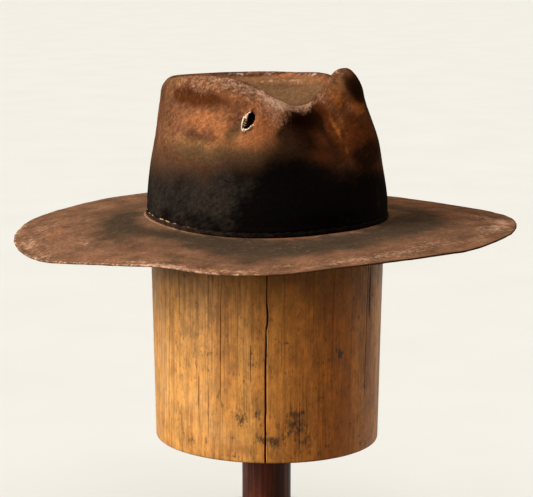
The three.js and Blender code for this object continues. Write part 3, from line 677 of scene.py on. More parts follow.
brimLook = {
    "columns": 420,
    "rows": 52,
    "edgeRows": 6,
    "closeRows": [(1.2, 1, 0.06), (1.2, 0, 0.04)],
    "swell": 0.45,
    "nicks": 0.45,
    # soft dents and rolls: turn, part of the way out, wide, high, lean, millimetres up
    "dents": [
        (90, 0.84, 22, 3.5, 0, -1), (90, 0.92, 22, 3, 0, 0.6), (60, 0.7, 30, 14, 0, 0.5), (350, 0.6, 20, 20, 0, -0.6),
        (120, 0.6, 26, 18, 0, 0.6), (200, 0.6, 30, 20, 0, 0.7), (250, 0.6, 30, 20, 0, -0.6)],
    # how pale the worn edge is at each turn
    "paleEdge": [
        (0, 0), (20, 0), (38, 0.1), (50, 0.5), (62, 0.8), (75, 1), (150, 1), (190, 0.6), (240, 0.6), (300, 0.5),
        (330, 0), (345, 0)],
    # marks: turn, part of the way out, wide, high, lean, strength. Most are age marks; the smudges near the crown's
    # foot also paint its shade
    "marks": {
        # these smudges are dirt, but near the crown's foot they also paint the shade there
        "smudgeAndShade": [
            (150, 0.2, 22, 16, 0, 0.8), (136, 0.24, 22, 18, 0, 1), (124, 0.34, 20, 12, 0, 0.6),
            (160, 0.16, 18, 12, 0, 0.6), (118, 0.45, 20, 9, 0, 0.5), (104, 0.58, 18, 6, 0, 0.4),
            (114, 0.16, 20, 12, 0, 1), (100, 0.13, 22, 10, 0, 1), (86, 0.12, 22, 12, 0, 1), (72, 0.14, 22, 14, 0, 1),
            (88, 0.36, 22, 10, 0, 0.8), (74, 0.42, 22, 14, 0, 0.9), (66, 0.66, 22, 10, 0, 0.7),
            (60, 0.2, 22, 12, 0, 0.9), (58, 0.45, 22, 14, 0, 0.9), (46, 0.18, 20, 12, 0, 0.9),
            (46, 0.42, 22, 14, 0, 0.9), (34, 0.26, 20, 16, 0, 1), (34, 0.5, 22, 9, 0, 0.5), (20, 0.2, 20, 14, 0, 1),
            (18, 0.42, 20, 12, 0, 0.6), (115.5, 0.645, 22, 4.5, 6, 0.45), (125, 0.707, 22, 4.5, 6, 0.4),
            (76, 0.75, 18, 4, 0, 0.4), (352, 0.14, 18, 14, 0, 1), (348, 0.34, 22, 16, 0, 1), (336, 0.2, 22, 16, 0, 1),
            (322, 0.3, 22, 16, 0, 0.9), (6, 0.16, 18, 14, 0, 1), (4, 0.36, 18, 12, 0, 0.7),
            (352, 0.56, 18, 9, 0, 0.4), (2, 0.7, 16, 5, 0, 0.3), (355, 0.8, 12, 4, 0, 0.3),
            (317, 0.75, 20, 5, 0, 0.5), (300, 0.3, 26, 16, 0, 0.9), (200, 0.14, 34, 18, 0, 0.9),
            (240, 0.12, 34, 16, 0, 0.9), (280, 0.12, 34, 16, 0, 0.9), (215, 0.6, 40, 14, 10, 0.7),
            (262, 0.55, 40, 14, -8, 0.8), (176, 0.3, 26, 12, 0, 0.5)],
        "rust": [
            (51.5, 0.05, 12, 3.5, 0, 0.9), (43, 0.06, 12, 3.5, 0, 0.8), (60, 0.05, 12, 3.5, 0, 0.7),
            (91.8, 0.672, 20, 4, -4, 0.4), (56, 0.82, 14, 5, -4, 0.45), (74.5, 0.934, 14, 4, 0, 0.8),
            (343, 0.92, 8, 8, 0, 0.8), (334, 0.46, 16, 12, 0, 0.5), (179, 0.39, 14, 10, 0, 0.5),
            (146, 0.695, 26, 16, 0, 0.4), (105, 0.865, 30, 7, 0, 0.5), (240, 0.75, 50, 14, 0, 0.5),
            (290, 0.8, 40, 14, 0, 0.5)],
        "worn": [
            (140, 0.911, 14, 6, 0, 0.6), (125, 0.93, 24, 4, 0, 0.6), (94, 0.92, 30, 6, 0, 0.6),
            (83, 0.975, 26, 3, 0, 0.9), (70, 0.93, 22, 4, 0, 0.7), (58, 0.82, 10, 3, 0, 0.6),
            (43.5, 0.88, 20, 6, 0, 0.6), (31, 0.82, 20, 8, 0, 0.6), (17.5, 0.72, 18, 8, 0, 0.5),
            (339, 0.9, 12, 8, 0, 1), (350, 0.86, 20, 9, 0, 1), (330, 0.75, 16, 10, 0, 0.6),
            (158, 0.98, 20, 3, 0, 0.6), (150, 0.8, 30, 16, 0, 0.35), (125, 0.62, 18, 6, 0, 0.4),
            (5, 0.85, 18, 6, 0, 0.5), (210, 0.9, 50, 8, 0, 0.5), (270, 0.92, 50, 7, 0, 0.5)],
        "dark": [
            (99, 0.62, 18, 5, 0, 0.3), (125, 0.2, 20, 8, 0, 0.4), (37, 0.3, 16, 6, 0, 0.5), (345, 0.2, 16, 12, 0, 0.5)],
    },
    "markScale": (1.2, 1.25),  # how much wider and higher the marks are drawn than listed
    "felt": ("#4b3727", "#644835", "#785741"),
    "nap": (3, (26, 5)),
    "grain": 0.24,
    "sheen": 0.03,
    "layers": [
        ("#7d4c30", "rust", "smoky", 1.4, 0.15, 1, 0.9), ("#2e281f", "smudgeAndShade", "smoky", 1.5, 0, 1.35, 0.9),
        ("#231a13", "dark", "smoky", 1, 0.15, 0.9, 0.9), ("#a1806a", "worn", "specks", 2.6, 0.2, 1.3, 0.85),
        ("#9a7a60", "hemRub", "specks", 2, 0.4, 1.2, 0.8), ("#b1927a", "paleEdge", "specks", 2.6, 0.6, 1.3, 0.9),
        ("#331e12", "edge", "specks", 0.8, 0.4, 1, 0.85),
    ],
}


# The brim's upper face at every turn, for each part of the way from the hem, 0, to the edge, 1
def brimFace(turns, parts):
    table = hat["brim"].T
    reach, drop = (roundTurn(table[0], column, turns) for column in table[1:3])
    dip = seamDip(turns)
    parts = np.asarray(parts)[:, None]
    fall = (1 - hat["brimSag"]) * parts + hat["brimSag"] * parts ** 2
    radius = ovalRadius(turns, *hat["head"]) + hat["hemFlare"] + parts * (reach - hat["hemFlare"])
    return spotAt(radius, turns[None] + 0 * parts, dip - fall * (drop + dip))


def makeBrim(material):
    look = brimLook
    turns = np.linspace(-180, 180, look["columns"], endpoint=False)
    parts = crowded(0, 0.992, look["rows"], look["closeRows"])
    top = brimFace(turns, parts)
    normals = -gridNormals(top)
    normals *= np.sign(normals[..., 2:3])
    swell = 0.7 * softNoise(top, 34, 21) + 0.3 * softNoise(top, 12, 22)
    free = smoothStep(0.04, 0.25, parts)[:, None]
    lift = free * (look["swell"] * swell + dentLift(top, normals, turns, parts, look["dents"]))
    outward = outAt(turns)
    edgeTurn = -180 * outward[:, [1, 0, 2]]  # a circle of 180 mm, for the noise along the edge
    nick = look["nicks"] * (0.6 * softNoise(edgeTurn, 7, 23) + 0.4 * softNoise(edgeTurn, 2.6, 24))
    nick = nick[None] * smoothStep(0.93, 1, parts)[:, None]
    top = top + normals * lift[..., None] + outward[None] * nick[..., None]
    thick = hat["felt"] - 0.5 * smoothStep(0.9, 1, parts)[:, None] * (0.6 + 0.4 * softNoise(top, 9, 25))
    under = top - normals * thick[..., None]
    # a rounded, worn edge between the two faces
    middle = (top[-1] + under[-1]) / 2
    halfThick = np.linalg.norm(top[-1] - under[-1], axis=-1)[:, None] / 2
    edge = np.array([middle + halfThick * (normals[-1] * math.cos(angle) + outward * 0.95 * math.sin(angle))
                     for angle in np.linspace(0, math.pi, look["edgeRows"] + 2)[1:-1]])
    # the flat ring under the crown's hem
    ringTop = spotAt(ovalRadius(turns, *hat["head"]) - hat["felt"], turns, seamDip(turns))
    ringUnder = ringTop - [0, 0, hat["felt"]]
    rows = np.concatenate([ringTop[None], top, edge, under[::-1], ringUnder[None]])
    count = len(turns)
    last = (len(rows) - 1) * count
    faces = gridFaces(len(rows), count, flip=True)
    faces += [(last + i, last + (i + 1) % count, (i + 1) % count, i) for i in range(count)]

    # from values on the upper face to one for every point
    def spread(values, edgeValue):
        edgeValues = np.repeat(edgeValue[None], look["edgeRows"], 0)
        spreadRows = np.concatenate([values[:1], values, edgeValues, values[::-1], values[:1]])
        return spreadRows.reshape((-1,) + values.shape[2:])

    flat = 0 * top[..., 0]
    pale = np.clip(roundPairs(look["paleEdge"], turns), 0, 1)
    hemDistance = 106 * parts[:, None] + flat
    attributes = {
        "edge": spread(smoothStep(0.985, 1, parts)[:, None] * (1 - pale), 1 - 0.8 * pale),
        "paleEdge": spread(smoothStep(0.955, 1, parts)[:, None] * pale, 0.7 * pale),
        "hemRub": spread(np.exp(-((hemDistance - 0.9) / 1.2) ** 2) * hemRubbed(turns)[None], flat[-1]),
    }
    wider, higher = look["markScale"]
    for label, patches in look["marks"].items():
        patches = [(turn, part, wide * wider, high * higher, lean, strength)
                   for turn, part, wide, high, lean, strength in patches]
        values = np.minimum(patchCover(top, normals, turns, parts, patches), 1.3)
        attributes[label] = spread(values, values[-1])
    # the nap's own map: 2.4 mm for a degree of turn, and 107 mm across the brim
    nap = np.stack([2.4 * turns[None] + flat, 107 * parts[:, None] + flat, flat], -1) / 1000
    attributes["nap"] = spread(nap, nap[-1])
    return makePiece("brim_felt_sheet", rows.reshape(-1, 3), faces, material, attributes, "brim")


frayLook = {
    "from": 52,            # points of the tear's outline between which the lip is frayed
    "to": 116,
    # how far the sliver reaches over the hole, along its run
    "width": [
        (0, 0.1), (0.08, 0.5), (0.13, 3), (0.22, 3.4), (0.28, 1), (0.45, 0.5), (0.6, 0.6), (0.66, 2), (0.74, 1.6),
        (0.8, 0.7), (0.92, 0.5), (1, 0.1)],
    # the sliver's section: millimetres over the hole, added part of its width, lift off the felt
    "section": [(-0.9, 0, 0.6), (-0.1, 0, 1.5), (0, 0.6, 1.25), (0, 1, 0.5), (0, 0.6, 0.3), (-0.4, 0, 0.2)],
    "widthSpread": (0.7, 1.2),
    "fibres": 40,
    "fibrePlaces": (-4, 38, 56),  # first, likeliest and last point of the run where they grow
    "fibreRadius": 0.26,
    "fibreLength": 3.4,
    "fibreSpread": (0.5, 1.1),   # parts of that length
    "fibreLean": 1.1,      # either way, in radians
    "fibreHang": 0.9,
    "fibreRings": 7,
    "fibreSides": 5,
}


# The raw edge of the felt at the tear: a curled, ragged sliver with loose fibres
def makeTearFray(material):
    look = frayLook
    turn = crownLook["tear"]["turn"]
    centre, right, up, out = tearAxes()
    near = crownFace(np.linspace(turn - 9, turn + 9, 90), np.linspace(0.4, 0.56, 90)).reshape(-1, 3) - centre
    aside, rise, deep = near @ right, near @ up, near @ out

    def onFelt(spot, lift):
        i = np.argmin((aside - spot[0]) ** 2 + (rise - spot[1]) ** 2)
        return centre + spot[0] * right + spot[1] * up + (deep[i] + lift) * out

    outline = tearOutline()
    random = np.random.default_rng(5)
    points, pale = [], []
    edge = outline[np.arange(look["from"], look["to"]) % len(outline)]
    for i, spot in enumerate(edge):
        inward = -spot / np.linalg.norm(spot)
        width = np.interp(i / (len(edge) - 1), *zip(*look["width"])) * random.uniform(*look["widthSpread"])
        points += [onFelt(spot + inward * (across + part * width), lift) for across, part, lift in look["section"]]
        pale.extend(random.uniform(0.4, 1, len(look["section"])))
    faces = tubeFaces(len(edge), len(look["section"]))
    rings, sides = look["fibreRings"], look["fibreSides"]
    for _ in range(look["fibres"]):
        spot = outline[(look["from"] + int(random.triangular(*look["fibrePlaces"]))) % len(outline)]
        inward = -spot / np.linalg.norm(spot)
        lean = random.uniform(-look["fibreLean"], look["fibreLean"])
        cos, sin = math.cos(lean), math.sin(lean)
        heading = np.array([inward[0] * cos - inward[1] * sin, inward[0] * sin + inward[1] * cos])
        length = look["fibreLength"] * random.uniform(*look["fibreSpread"])
        faces += tubeFaces(rings, sides, len(points))
        for part in np.linspace(0, 1, rings):
            hang = np.array([0, -look["fibreHang"] * part * part])
            middle = onFelt(spot - 0.5 * inward + heading * length * part + hang, 0.7 - 0.5 * part)
            radius = look["fibreRadius"] * (1 - 0.75 * part)
            points.extend(ringAt(middle, [radius] * sides, heading[0] * up - heading[1] * right, out))
            pale.extend(random.uniform(0.3, 1, sides))
    return makePiece("tear_fray", points, faces, material, {"pale": np.array(pale)}, None)


# Raw wool at the heart of the felt: undyed, loose and soft, so it is cream and fully matt
def rawWoolMaterial():
    material, tree, shader, place = newMaterial("raw wool, teased out and dusty")
    # loose strands about 1 mm apart, far coarser than real wool so that they show
    strands = addNode(tree, "TexNoise", {"Vector": place, "Scale": 1000, "Detail": 3.0,
                                         "Roughness": 0.6})
    colour = addNode(tree, "ValToRGB", {"Fac": strands},
                     stops=[(0.32, "#5f4d3b"), (0.62, "#d8cdb8"), (0.48, "#a8977f")])
    colour = layOver(tree, colour, [("#ddd4c2", "pale", "strands", 1.2, 0.4, 1.2, 0.6)], {"strands": strands})
    bump = addNode(tree, "Bump", {"Height": strands, "Strength": 0.5, "Distance": 0.0004})
    setSockets(tree, shader, {"Base Color": colour, "Normal": bump, "Roughness": 0.95, "IOR": 1.45,
                              "Specular IOR Level": 0.05})
    return material


stitchLook = {
    "count": 66,
    "height": 3.7,         # above the seam, in the groove over the folded hem
    "thread": 0.5,         # radius of the waxed linen thread
    "pitchPart": 0.7,      # stitch length as a part of its pitch
    "twist": 0.12,         # how far the strands of the thread stand out
    "startSpread": (-0.3, 0.3),  # how unevenly the stitches are sewn: degrees, parts and millimetres
    "lengthSpread": (0.82, 1.08),
    "tiltSpread": (-0.4, 0.4),
    "wearSpread": (0.1, 1.15),
    "sunkSpread": (-0.15, 0.25),
    "rings": 9,
    "sides": 8,
    # how bright the rubbed thread is at each turn
    "bright": [
        (134, 0.8), (122, 1.1), (112, 0.7), (104, 0.8), (96, 0.4), (84, 0.2), (72, 0), (60, -0.2), (48, -0.2),
        (36, -0.1), (24, -0.2), (14, -0.2), (4, -0.1), (350, 0.1), (320, 0.5), (280, 0.5), (240, 0.6), (200, 0.7),
        (165, 0.8)],
}


def makeStitches(material):
    look = stitchLook
    random = np.random.default_rng(12)
    points, faces, worn = [], [], []
    pitch = 360 / look["count"]
    sides = look["sides"]
    hemPlace = hat["knots"][1]  # the crown's place at the top of its hem
    for i in range(look["count"]):
        start = i * pitch + random.uniform(*look["startSpread"])
        length = pitch * look["pitchPart"] * random.uniform(*look["lengthSpread"])
        tilt = random.uniform(*look["tiltSpread"])
        wear = roundPairs(look["bright"], np.array([start]))[0] * random.uniform(*look["wearSpread"])
        sunk = random.uniform(*look["sunkSpread"])
        faces += tubeFaces(look["rings"], sides, len(points))
        for part in np.linspace(0, 1, look["rings"]):
            turn = start + part * length
            height = look["height"] + tilt * (2 * part - 1)
            place = hemPlace * (height - hat["seat"]) / (hat["hemTop"] - hat["seat"])
            rise = math.sin(math.pi * part) ** 0.5
            centre = crownFace(np.array([turn]), [place])[0, 0] + outAt(turn) * (-0.55 + 0.65 * rise - sunk)
            radius = look["thread"] * (0.45 + 0.55 * rise)
            radii = [radius * (1 + look["twist"] * math.sin(6 * math.pi * k / sides + 16 * part)) for k in range(sides)]
            points.extend(ringAt(centre, radii, outAt(turn), np.array([0, 0, 1])))
        worn += [wear] * look["rings"] * sides
    return makePiece("hem_stitches", points, faces, material, {"worn": np.array(worn)}, None)


# Waxed linen thread: twisted and slightly glossy when new, now dusty beige where it shows and sooty elsewhere
def threadMaterial():
    material, tree, shader, place = newMaterial("waxed linen thread, soiled")
    # dust and soot in spots of 2.2 mm
    soil = addNode(tree, "TexNoise", {"Vector": place, "Scale": 1000 / 2.2, "Detail": 3.0})
    colour = layOver(tree, fromHex("#060403"), [("#b08e68", "worn", "soil", 1.1, 0.3, 1.1, 1)], {"soil": soil})
    bump = addNode(tree, "Bump", {"Height": soil, "Strength": 0.4, "Distance": 0.0003})
    setSockets(tree, shader, {"Base Color": colour, "Normal": bump, "Roughness": 0.85, "IOR": 1.5,
                              "Specular IOR Level": 0.08})
    return material


blockLook = {
    "bottom": 111,
    "topOval": (195.5, 170.5),
    "bottomOval": (185.4, 174),
    "edge": 1.6,
    "columns": 300,
    "rows": 110,
    "meanRadius": 90,
    # the dome under the crown: level above the seam, part of the top oval
    "dome": [
        (0, 1), (20, 0.98), (35, 0.93), (46, 0.86), (58, 0.72), (68, 0.585), (77, 0.51), (82, 0.37), (84.8, 0.2)],
    "domeTop": 85.9,
    # drying cracks: turn, top level, bottom level, width, depth
    "cracks": [
        (62, 6, -190, 1.5, 7), (86.5, -44, -138, 0.42, 0.8), (93.8, -20, -92, 0.38, 0.6),
        (93.6, -118, -168, 0.4, 0.7), (100.2, -112, -152, 0.5, 1), (3.6, -30, -78, 1.3, 2.5),
        (6, -10, -136, 0.6, 1.2), (114, -40, -80, 0.4, 0.8), (45, -130, -180, 0.5, 0.8), (70, -84, -124, 0.5, 1),
        (28, -30, -70, 0.4, 0.8), (150, -20, -184, 0.7, 2.5), (215, 0, -120, 0.5, 1.5), (262, -60, -184, 0.6, 2),
        (310, -10, -100, 0.45, 1.2)],
    "crackFade": 14,       # how far a crack runs out at its ends
    # by level, the main crack's width as a part of the table's, and how far it strays aside
    "crackOpen": [
        (10, 0.42), (-45, 0.48), (-60, 0.6), (-68, 0.85), (-77, 0.55), (-90, 0.6), (-120, 0.8), (-190, 0.9)],
    "crackWander": [(12, 0.4), (-58, 0.4), (-66, 1.1), (-71, 0.9), (-78, -0.3), (-190, -0.9)],
    # marks: turn, place (0 under the brim, 1 at the bottom), wide, high, lean, strength. Most are age marks; the stains
    # high under the brim also paint its shade
    "marks": {
        "soot": [
            (75.5, 0.79, 6, 9, 0, 0.7), (66, 0.77, 5, 7, 0, 0.65), (69.8, 0.57, 4, 10, 0, 0.65),
            (68, 0.5, 3, 5, 0, 0.5), (61, 0.37, 4, 4, 0, 0.6), (23.5, 0.54, 5, 5, 0, 0.9),
            (52.5, 0.47, 9, 1.8, -8, 0.8), (15.8, 0.44, 4, 4, 0, 0.7), (11.8, 0.39, 3, 4, 0, 0.6),
            (35, 0.64, 6, 6, 0, 0.4), (47.8, 0.81, 8, 12, 10, 0.9), (58, 0.9, 9, 7, 0, 0.9),
            (42.5, 0.9, 8, 12, 0, 0.75), (66, 0.9, 5, 6, 0, 0.7), (19, 0.25, 7, 6, 0, 0.4),
            (105, 0.93, 4, 8, 0, 0.65), (80.5, 0.97, 12, 3, 0, 0.65), (29, 0.94, 5, 5, 0, 0.7),
            (4, 0.97, 8, 5, 0, 0.9), (6, 0.72, 3, 26, 0, 0.7), (8, 0.88, 5, 10, 0, 0.5), (46, 0.25, 6, 20, 0, 0.35),
            (90, 0.4, 30, 60, 0, 0.22), (110, 0.6, 30, 60, 0, 0.2), (30, 0.5, 30, 60, 0, 0.25),
            (60, 0.85, 40, 30, 0, 0.2), (4, 0.3, 5, 24, 0, 0.7), (180, 0.7, 12, 20, 0, 0.6),
            (250, 0.85, 20, 12, 0, 0.7), (300, 0.6, 10, 14, 0, 0.6)],
        # these stains are real, but the broad ones high under the brim also paint the brim's shade
        "stainAndShade": [
            (24, 0.28, 24, 30, 0, 0.55), (10, 0.4, 10, 50, 0, 0.35), (48, 0.16, 22, 16, 0, 0.7),
            (74, 0.12, 24, 12, 0, 0.55), (98, 0.1, 20, 8, 0, 0.2), (40, 0.55, 14, 40, 0, 0.35),
            (60, 0.25, 6, 26, 0, 0.5), (112, 0.3, 5, 40, 0, 0.5), (104, 0.35, 3, 50, 0, 0.5),
            (120, 0.6, 5, 60, 0, 0.5), (66, 0.45, 8, 30, 0, 0.4), (2, 0.5, 7, 90, 0, 0.7), (20, 0.8, 14, 30, 0, 0.5),
            (50, 0.88, 26, 20, 0, 0.4), (80, 0.95, 30, 8, 0, 0.5), (200, 0.4, 40, 60, 0, 0.5),
            (280, 0.5, 40, 60, 0, 0.4)],
        "pale": [
            (128, 0.6, 16, 60, 0, 0.6), (100, 0.75, 16, 30, 0, 0.5), (350, 0.5, 8, 80, 0, 0.6),
            (85, 0.9, 20, 16, 0, 0.4)],
    },
    # the crack layer darkens each groove by its depth: painted shade in the cracks
    "layers": [
        ("#d8ad74", "pale", "lines", 0.6, 0.2, 1, 0.6), ("#6a3b12", "stainAndShade", "broad", 0.8, 0.2, 1, 0.75),
        ("#1a110a", "soot", "smudged", 4.2, 0.45, 1.2, 0.88), ("#0b0604", "crack", "lines", 0.1, 0.1, 0.7, 1),
    ],
}


def makeBlock(material):
    look = blockLook
    turns = set(np.linspace(-180, 180, look["columns"], endpoint=False).tolist())
    for turn, top, bottom, width, depth in look["cracks"]:
        centre = turn if turn <= 180 else turn - 360
        half = math.degrees(width / 2 / look["meanRadius"])
        turns = {t for t in turns if abs(t - centre) > 2.2 * half + 0.1}
        turns |= {centre + part * half for part in (-2, -1, -0.6, -0.3, 0, 0.3, 0.6, 1, 2)}
    turns = np.array(sorted(turns))
    bottomLevel = look["bottom"] - hat["seamLevel"]
    edgeLevel = bottomLevel + look["edge"]
    bend = np.radians([30, 60, 90])  # the rounded bottom edge
    levels = np.concatenate([np.linspace(0, edgeLevel, look["rows"]), bottomLevel + look["edge"] * (1 - np.sin(bend))])
    inset = np.concatenate([np.zeros(look["rows"]), look["edge"] * (1 - np.cos(bend))])
    down = np.clip(levels / edgeLevel, 0, 1)[:, None]
    wander = downPairs(look["crackWander"], levels) + 0.35 * lineNoise(levels, 9, 31)
    main = look["cracks"][0][0]
    shift = -np.degrees(wander[:, None] / look["meanRadius"]) * np.exp(-(turnAway(turns, main)[None] / 9) ** 2)
    grid = turns[None] + shift
    radii = ovalRadius(grid, *look["topOval"]) * (1 - down) + ovalRadius(grid, *look["bottomOval"]) * down
    radii = radii - inset[:, None]
    allLevels = levels[:, None] + 0 * grid
    groove = np.zeros_like(radii)
    for turn, top, bottom, width, depth in look["cracks"]:
        along = smoothStep(0, 1, (top - levels) / look["crackFade"])
        if bottom >= bottomLevel - 3:  # a crack that reaches past the bottom doesn't run out there
            along = along * smoothStep(0, 1, (levels - bottom) / look["crackFade"])
        ragged = 1 + 0.3 * lineNoise(levels, 7, 32, turn)
        across = np.abs(turnAway(turns, turn))[None] / math.degrees(width / 2 / look["meanRadius"])
        if turn == main:
            across = across / downPairs(look["crackOpen"], levels)[:, None]
        groove += depth * np.clip(1.08 - across, 0, 1) ** 0.7 * (along * ragged)[:, None]
    waviness = np.minimum(0.12 * softNoise(spotAt(radii, grid, allLevels) * [1, 1, 0.12], 9, 33), 0.1)
    sides = spotAt(radii + waviness - groove, grid, allLevels)
    topRadius = ovalRadius(turns, *look["topOval"])
    dome = [spotAt(part * topRadius, turns, level) for level, part in look["dome"][:0:-1]]
    rows = np.concatenate([np.array(dome), sides])
    count = len(turns)
    total = len(rows) * count
    points = np.concatenate([rows.reshape(-1, 3), [[0, 0, hat["seamLevel"] + look["domeTop"]], [0, 0, look["bottom"]]]])
    faces = gridFaces(len(rows), count, flip=True)
    faces += fanFaces(0, count, total) + fanFaces(total - count, count, total + 1)
    normals = -gridNormals(rows)
    normals = np.where((normals * outAt(turns)).sum(-1, keepdims=True) < 0, -normals, normals)
    places = np.concatenate([np.full(len(dome), -0.1), levels / bottomLevel])
    covers = {label: patchCover(rows, normals, turns, places, patches) for label, patches in look["marks"].items()}
    # the grooves are darkened by their depth: painted shade in the cracks
    covers["crack"] = np.concatenate([np.zeros((len(dome), count)), smoothStep(0.05, 0.8, groove)])
    attributes = {label: np.concatenate([values.reshape(-1), [0, 0]]) for label, values in covers.items()}
    return makePiece("block_wood_body", points, faces, material, attributes, "hat_block")


# Boxwood-like hardwood: turned, sanded and handled, so the grain runs upright in fine dark lines
# under a thin worn wax
def blockWoodMaterial():
    material, tree, shader, place = newMaterial("honey hardwood, waxed and worn")
    noises = {}
    # each noise with its width and height in millimetres. The growth lines are 2.4 mm apart and the pores
    # 0.9 mm wide, both coarser than in real boxwood so that they show
    for label, wide, high, settings in (
            ("lines", 2.381, 90.91, {"Detail": 5.0, "Roughness": 0.65, "Distortion": 0.4}),
            ("pores", 0.9091, 45.455, {"Detail": 2.0}),
            ("broad", 21.739, 250, {"Detail": 3.0}),
            ("mottle", 9.091, 16.667, {"Detail": 8.0, "Roughness": 0.72}),
            ("flecks", 2.381, 6.6667, {"Detail": 4.0, "Roughness": 0.75}),
            ("specks", 4.5, 4.5, {"Detail": 6.0, "Roughness": 0.8})):
        scale = (1000 / wide, 1000 / wide, 1000 / high)
        space = addNode(tree, "Mapping", {"Vector": place, "Scale": scale})
        noises[label] = addNode(tree, "TexNoise", {"Vector": space, "Scale": 1.0, **settings})
    colour = addNode(tree, "ValToRGB", {"Fac": noises["broad"]},
                     stops=[(0.3, "#aa7330"), (0.7, "#c9954e"), (0.5, "#bb833c")])
    # growth lines, pores and the dark flecks of handling
    for label, low, high, strength, shade in (("lines", 0.52, 0.32, 0.6, "#6b3f17"),
                                              ("pores", 0.4, 0.28, 0.6, "#4c2a10"),
                                              ("flecks", 0.57, 0.67, 0.75, "#59330f")):
        mask = addNode(tree, "MapRange", {"Value": noises[label], "From Min": low, "From Max": high,
                                          "To Max": strength})
        colour = addNode(tree, "Mix", {0: mask, 6: colour, 7: fromHex(shade)}, data_type="RGBA").outputs[2]
    mottled = addNode(tree, "MapRange", {"Value": noises["mottle"], "From Min": 0.38, "From Max": 0.62,
                                         "To Min": 0.66, "To Max": 1.26})
    colour = addNode(tree, "VectorMath", {0: colour, "Scale": mottled}, operation="SCALE")
    noises["smudged"] = addNode(tree, "Mix", {0: 0.45, 2: noises["specks"], 3: noises["flecks"]})
    colour = layOver(tree, colour, blockLook["layers"], noises)
    gloss = addNode(tree, "MapRange", {"Value": noises["lines"], "From Min": 0.3, "From Max": 0.7,
                                       "To Min": 0.62, "To Max": 0.45})
    bump = addNode(tree, "Bump", {"Height": noises["lines"], "Strength": 0.3, "Distance": 0.0005})
    bump = addNode(tree, "Bump", {"Height": noises["pores"], "Strength": 0.35, "Distance": 0.0003,
                                  "Normal": bump})
    setSockets(tree, shader, {"Base Color": colour, "Normal": bump, "Roughness": gloss, "IOR": 1.5,
                              "Specular IOR Level": 0.35})
    return material


standLook = {
    "base": {"radius": 120, "height": 20, "edge": 5, "rings": (106, 102.5)},
    "post": {"radius": 20.3, "bottom": 20.3, "top": 110.7, "ease": 0.7},
    "columns": 144,
}


# A turned piece from its profile of radii and levels above the floor
def turnedPiece(name, profile, material, node):
    turns = np.linspace(-180, 180, standLook["columns"], endpoint=False)
    rows = np.array([spotAt(radius, turns, level - hat["seamLevel"]) for radius, level in profile])
    count, total = len(turns), len(profile) * len(turns)
    points = np.concatenate([rows.reshape(-1, 3), [[0, 0, profile[0][1]], [0, 0, profile[-1][1]]]])
    faces = gridFaces(len(profile), count) + fanFaces(0, count, total) + fanFaces(total - count, count, total + 1)
    return makePiece(name, points, faces, material, {}, node)


def makeStand(material):
    post, base = standLook["post"], standLook["base"]
    radius, ease, bottom, top = post["radius"], post["ease"], post["bottom"], post["top"]
    corner = [(radius - ease * (1 - math.sin(a)), ease * (1 - math.cos(a))) for a in np.linspace(0, math.pi / 2, 4)]
    profile = [(r, bottom + up) for r, up in corner]
    # the shaft is a hair slimmer halfway up
    profile += [(radius - 0.12 * math.sin(math.pi * part) ** 2, bottom + ease + part * (top - bottom - 2 * ease))
                for part in np.linspace(0, 1, 40)[1:-1]]
    profile += [(r, top - up) for r, up in corner[::-1]]
    turnedPiece("stand_post_turned", profile, material, "stand_post")
    radius, height, edge = base["radius"], base["height"], base["edge"]
    profile = [(60, 0), (110, 0), (radius - 0.6, 0), (radius, 0.6)]
    profile += [(radius, up) for up in np.linspace(2, height - edge, 6)]
    profile += [(radius - edge + edge * math.cos(a), height - edge + edge * math.sin(a))
                for a in np.linspace(0, math.pi / 2, 9)[1:]]
    # two fine lines cut with the point of the turning tool
    for ring in base["rings"]:
        profile += [(ring + 0.7, height), (ring, height - 0.5), (ring - 0.7, height)]
    profile += [(r, height) for r in np.linspace(98, 24, 20)]
    turnedPiece("stand_base_turned", profile, material, "stand_base")


# Walnut, stained dark and oiled: close upright grain with a reddish glow and a low gloss
def standWoodMaterial():
    material, tree, shader, place = newMaterial("dark stained walnut, oiled")
    # growth lines 2.4 mm apart and 63 mm long, and slow changes of tone 14 mm across
    scale = (1000 / 2.381, 1000 / 2.381, 1000 / 62.5)
    grown = addNode(tree, "Mapping", {"Vector": place, "Scale": scale})
    lines = addNode(tree, "TexNoise", {"Vector": grown, "Scale": 1.0, "Detail": 5.0, "Roughness": 0.6,
                                       "Distortion": 0.5})
    broad = addNode(tree, "TexNoise", {"Vector": place, "Scale": 1000 / 14, "Detail": 3.0})
    colour = addNode(tree, "ValToRGB", {"Fac": lines},
                     stops=[(0.34, "#2a1008"), (0.68, "#652c13"), (0.52, "#451c0c")])
    shade, gloss = (addNode(tree, "MapRange", {"Value": value, "From Min": 0.3, "From Max": 0.7,
                                               "To Min": low, "To Max": high})
                    for value, low, high in ((broad, 0.75, 1.2), (lines, 0.55, 0.38)))
    colour = addNode(tree, "VectorMath", {0: colour, "Scale": shade}, operation="SCALE")
    bump = addNode(tree, "Bump", {"Height": lines, "Strength": 0.25, "Distance": 0.0004})
    setSockets(tree, shader, {"Base Color": colour, "Normal": bump, "Roughness": gloss, "IOR": 1.5,
                              "Specular IOR Level": 0.2})
    return material


makeCrown(feltMaterial("rust brown wool felt, smoke charred", crownLook))
makeBrim(feltMaterial("rust brown wool felt, weathered brim", brimLook))
makeTearFray(rawWoolMaterial())
makeStitches(threadMaterial())
makeBlock(blockWoodMaterial())
makeStand(standWoodMaterial())


# The studio: a pale floor that runs out of sight, a soft key from the viewer's left, and weaker lamps
# in front, overhead and at the right

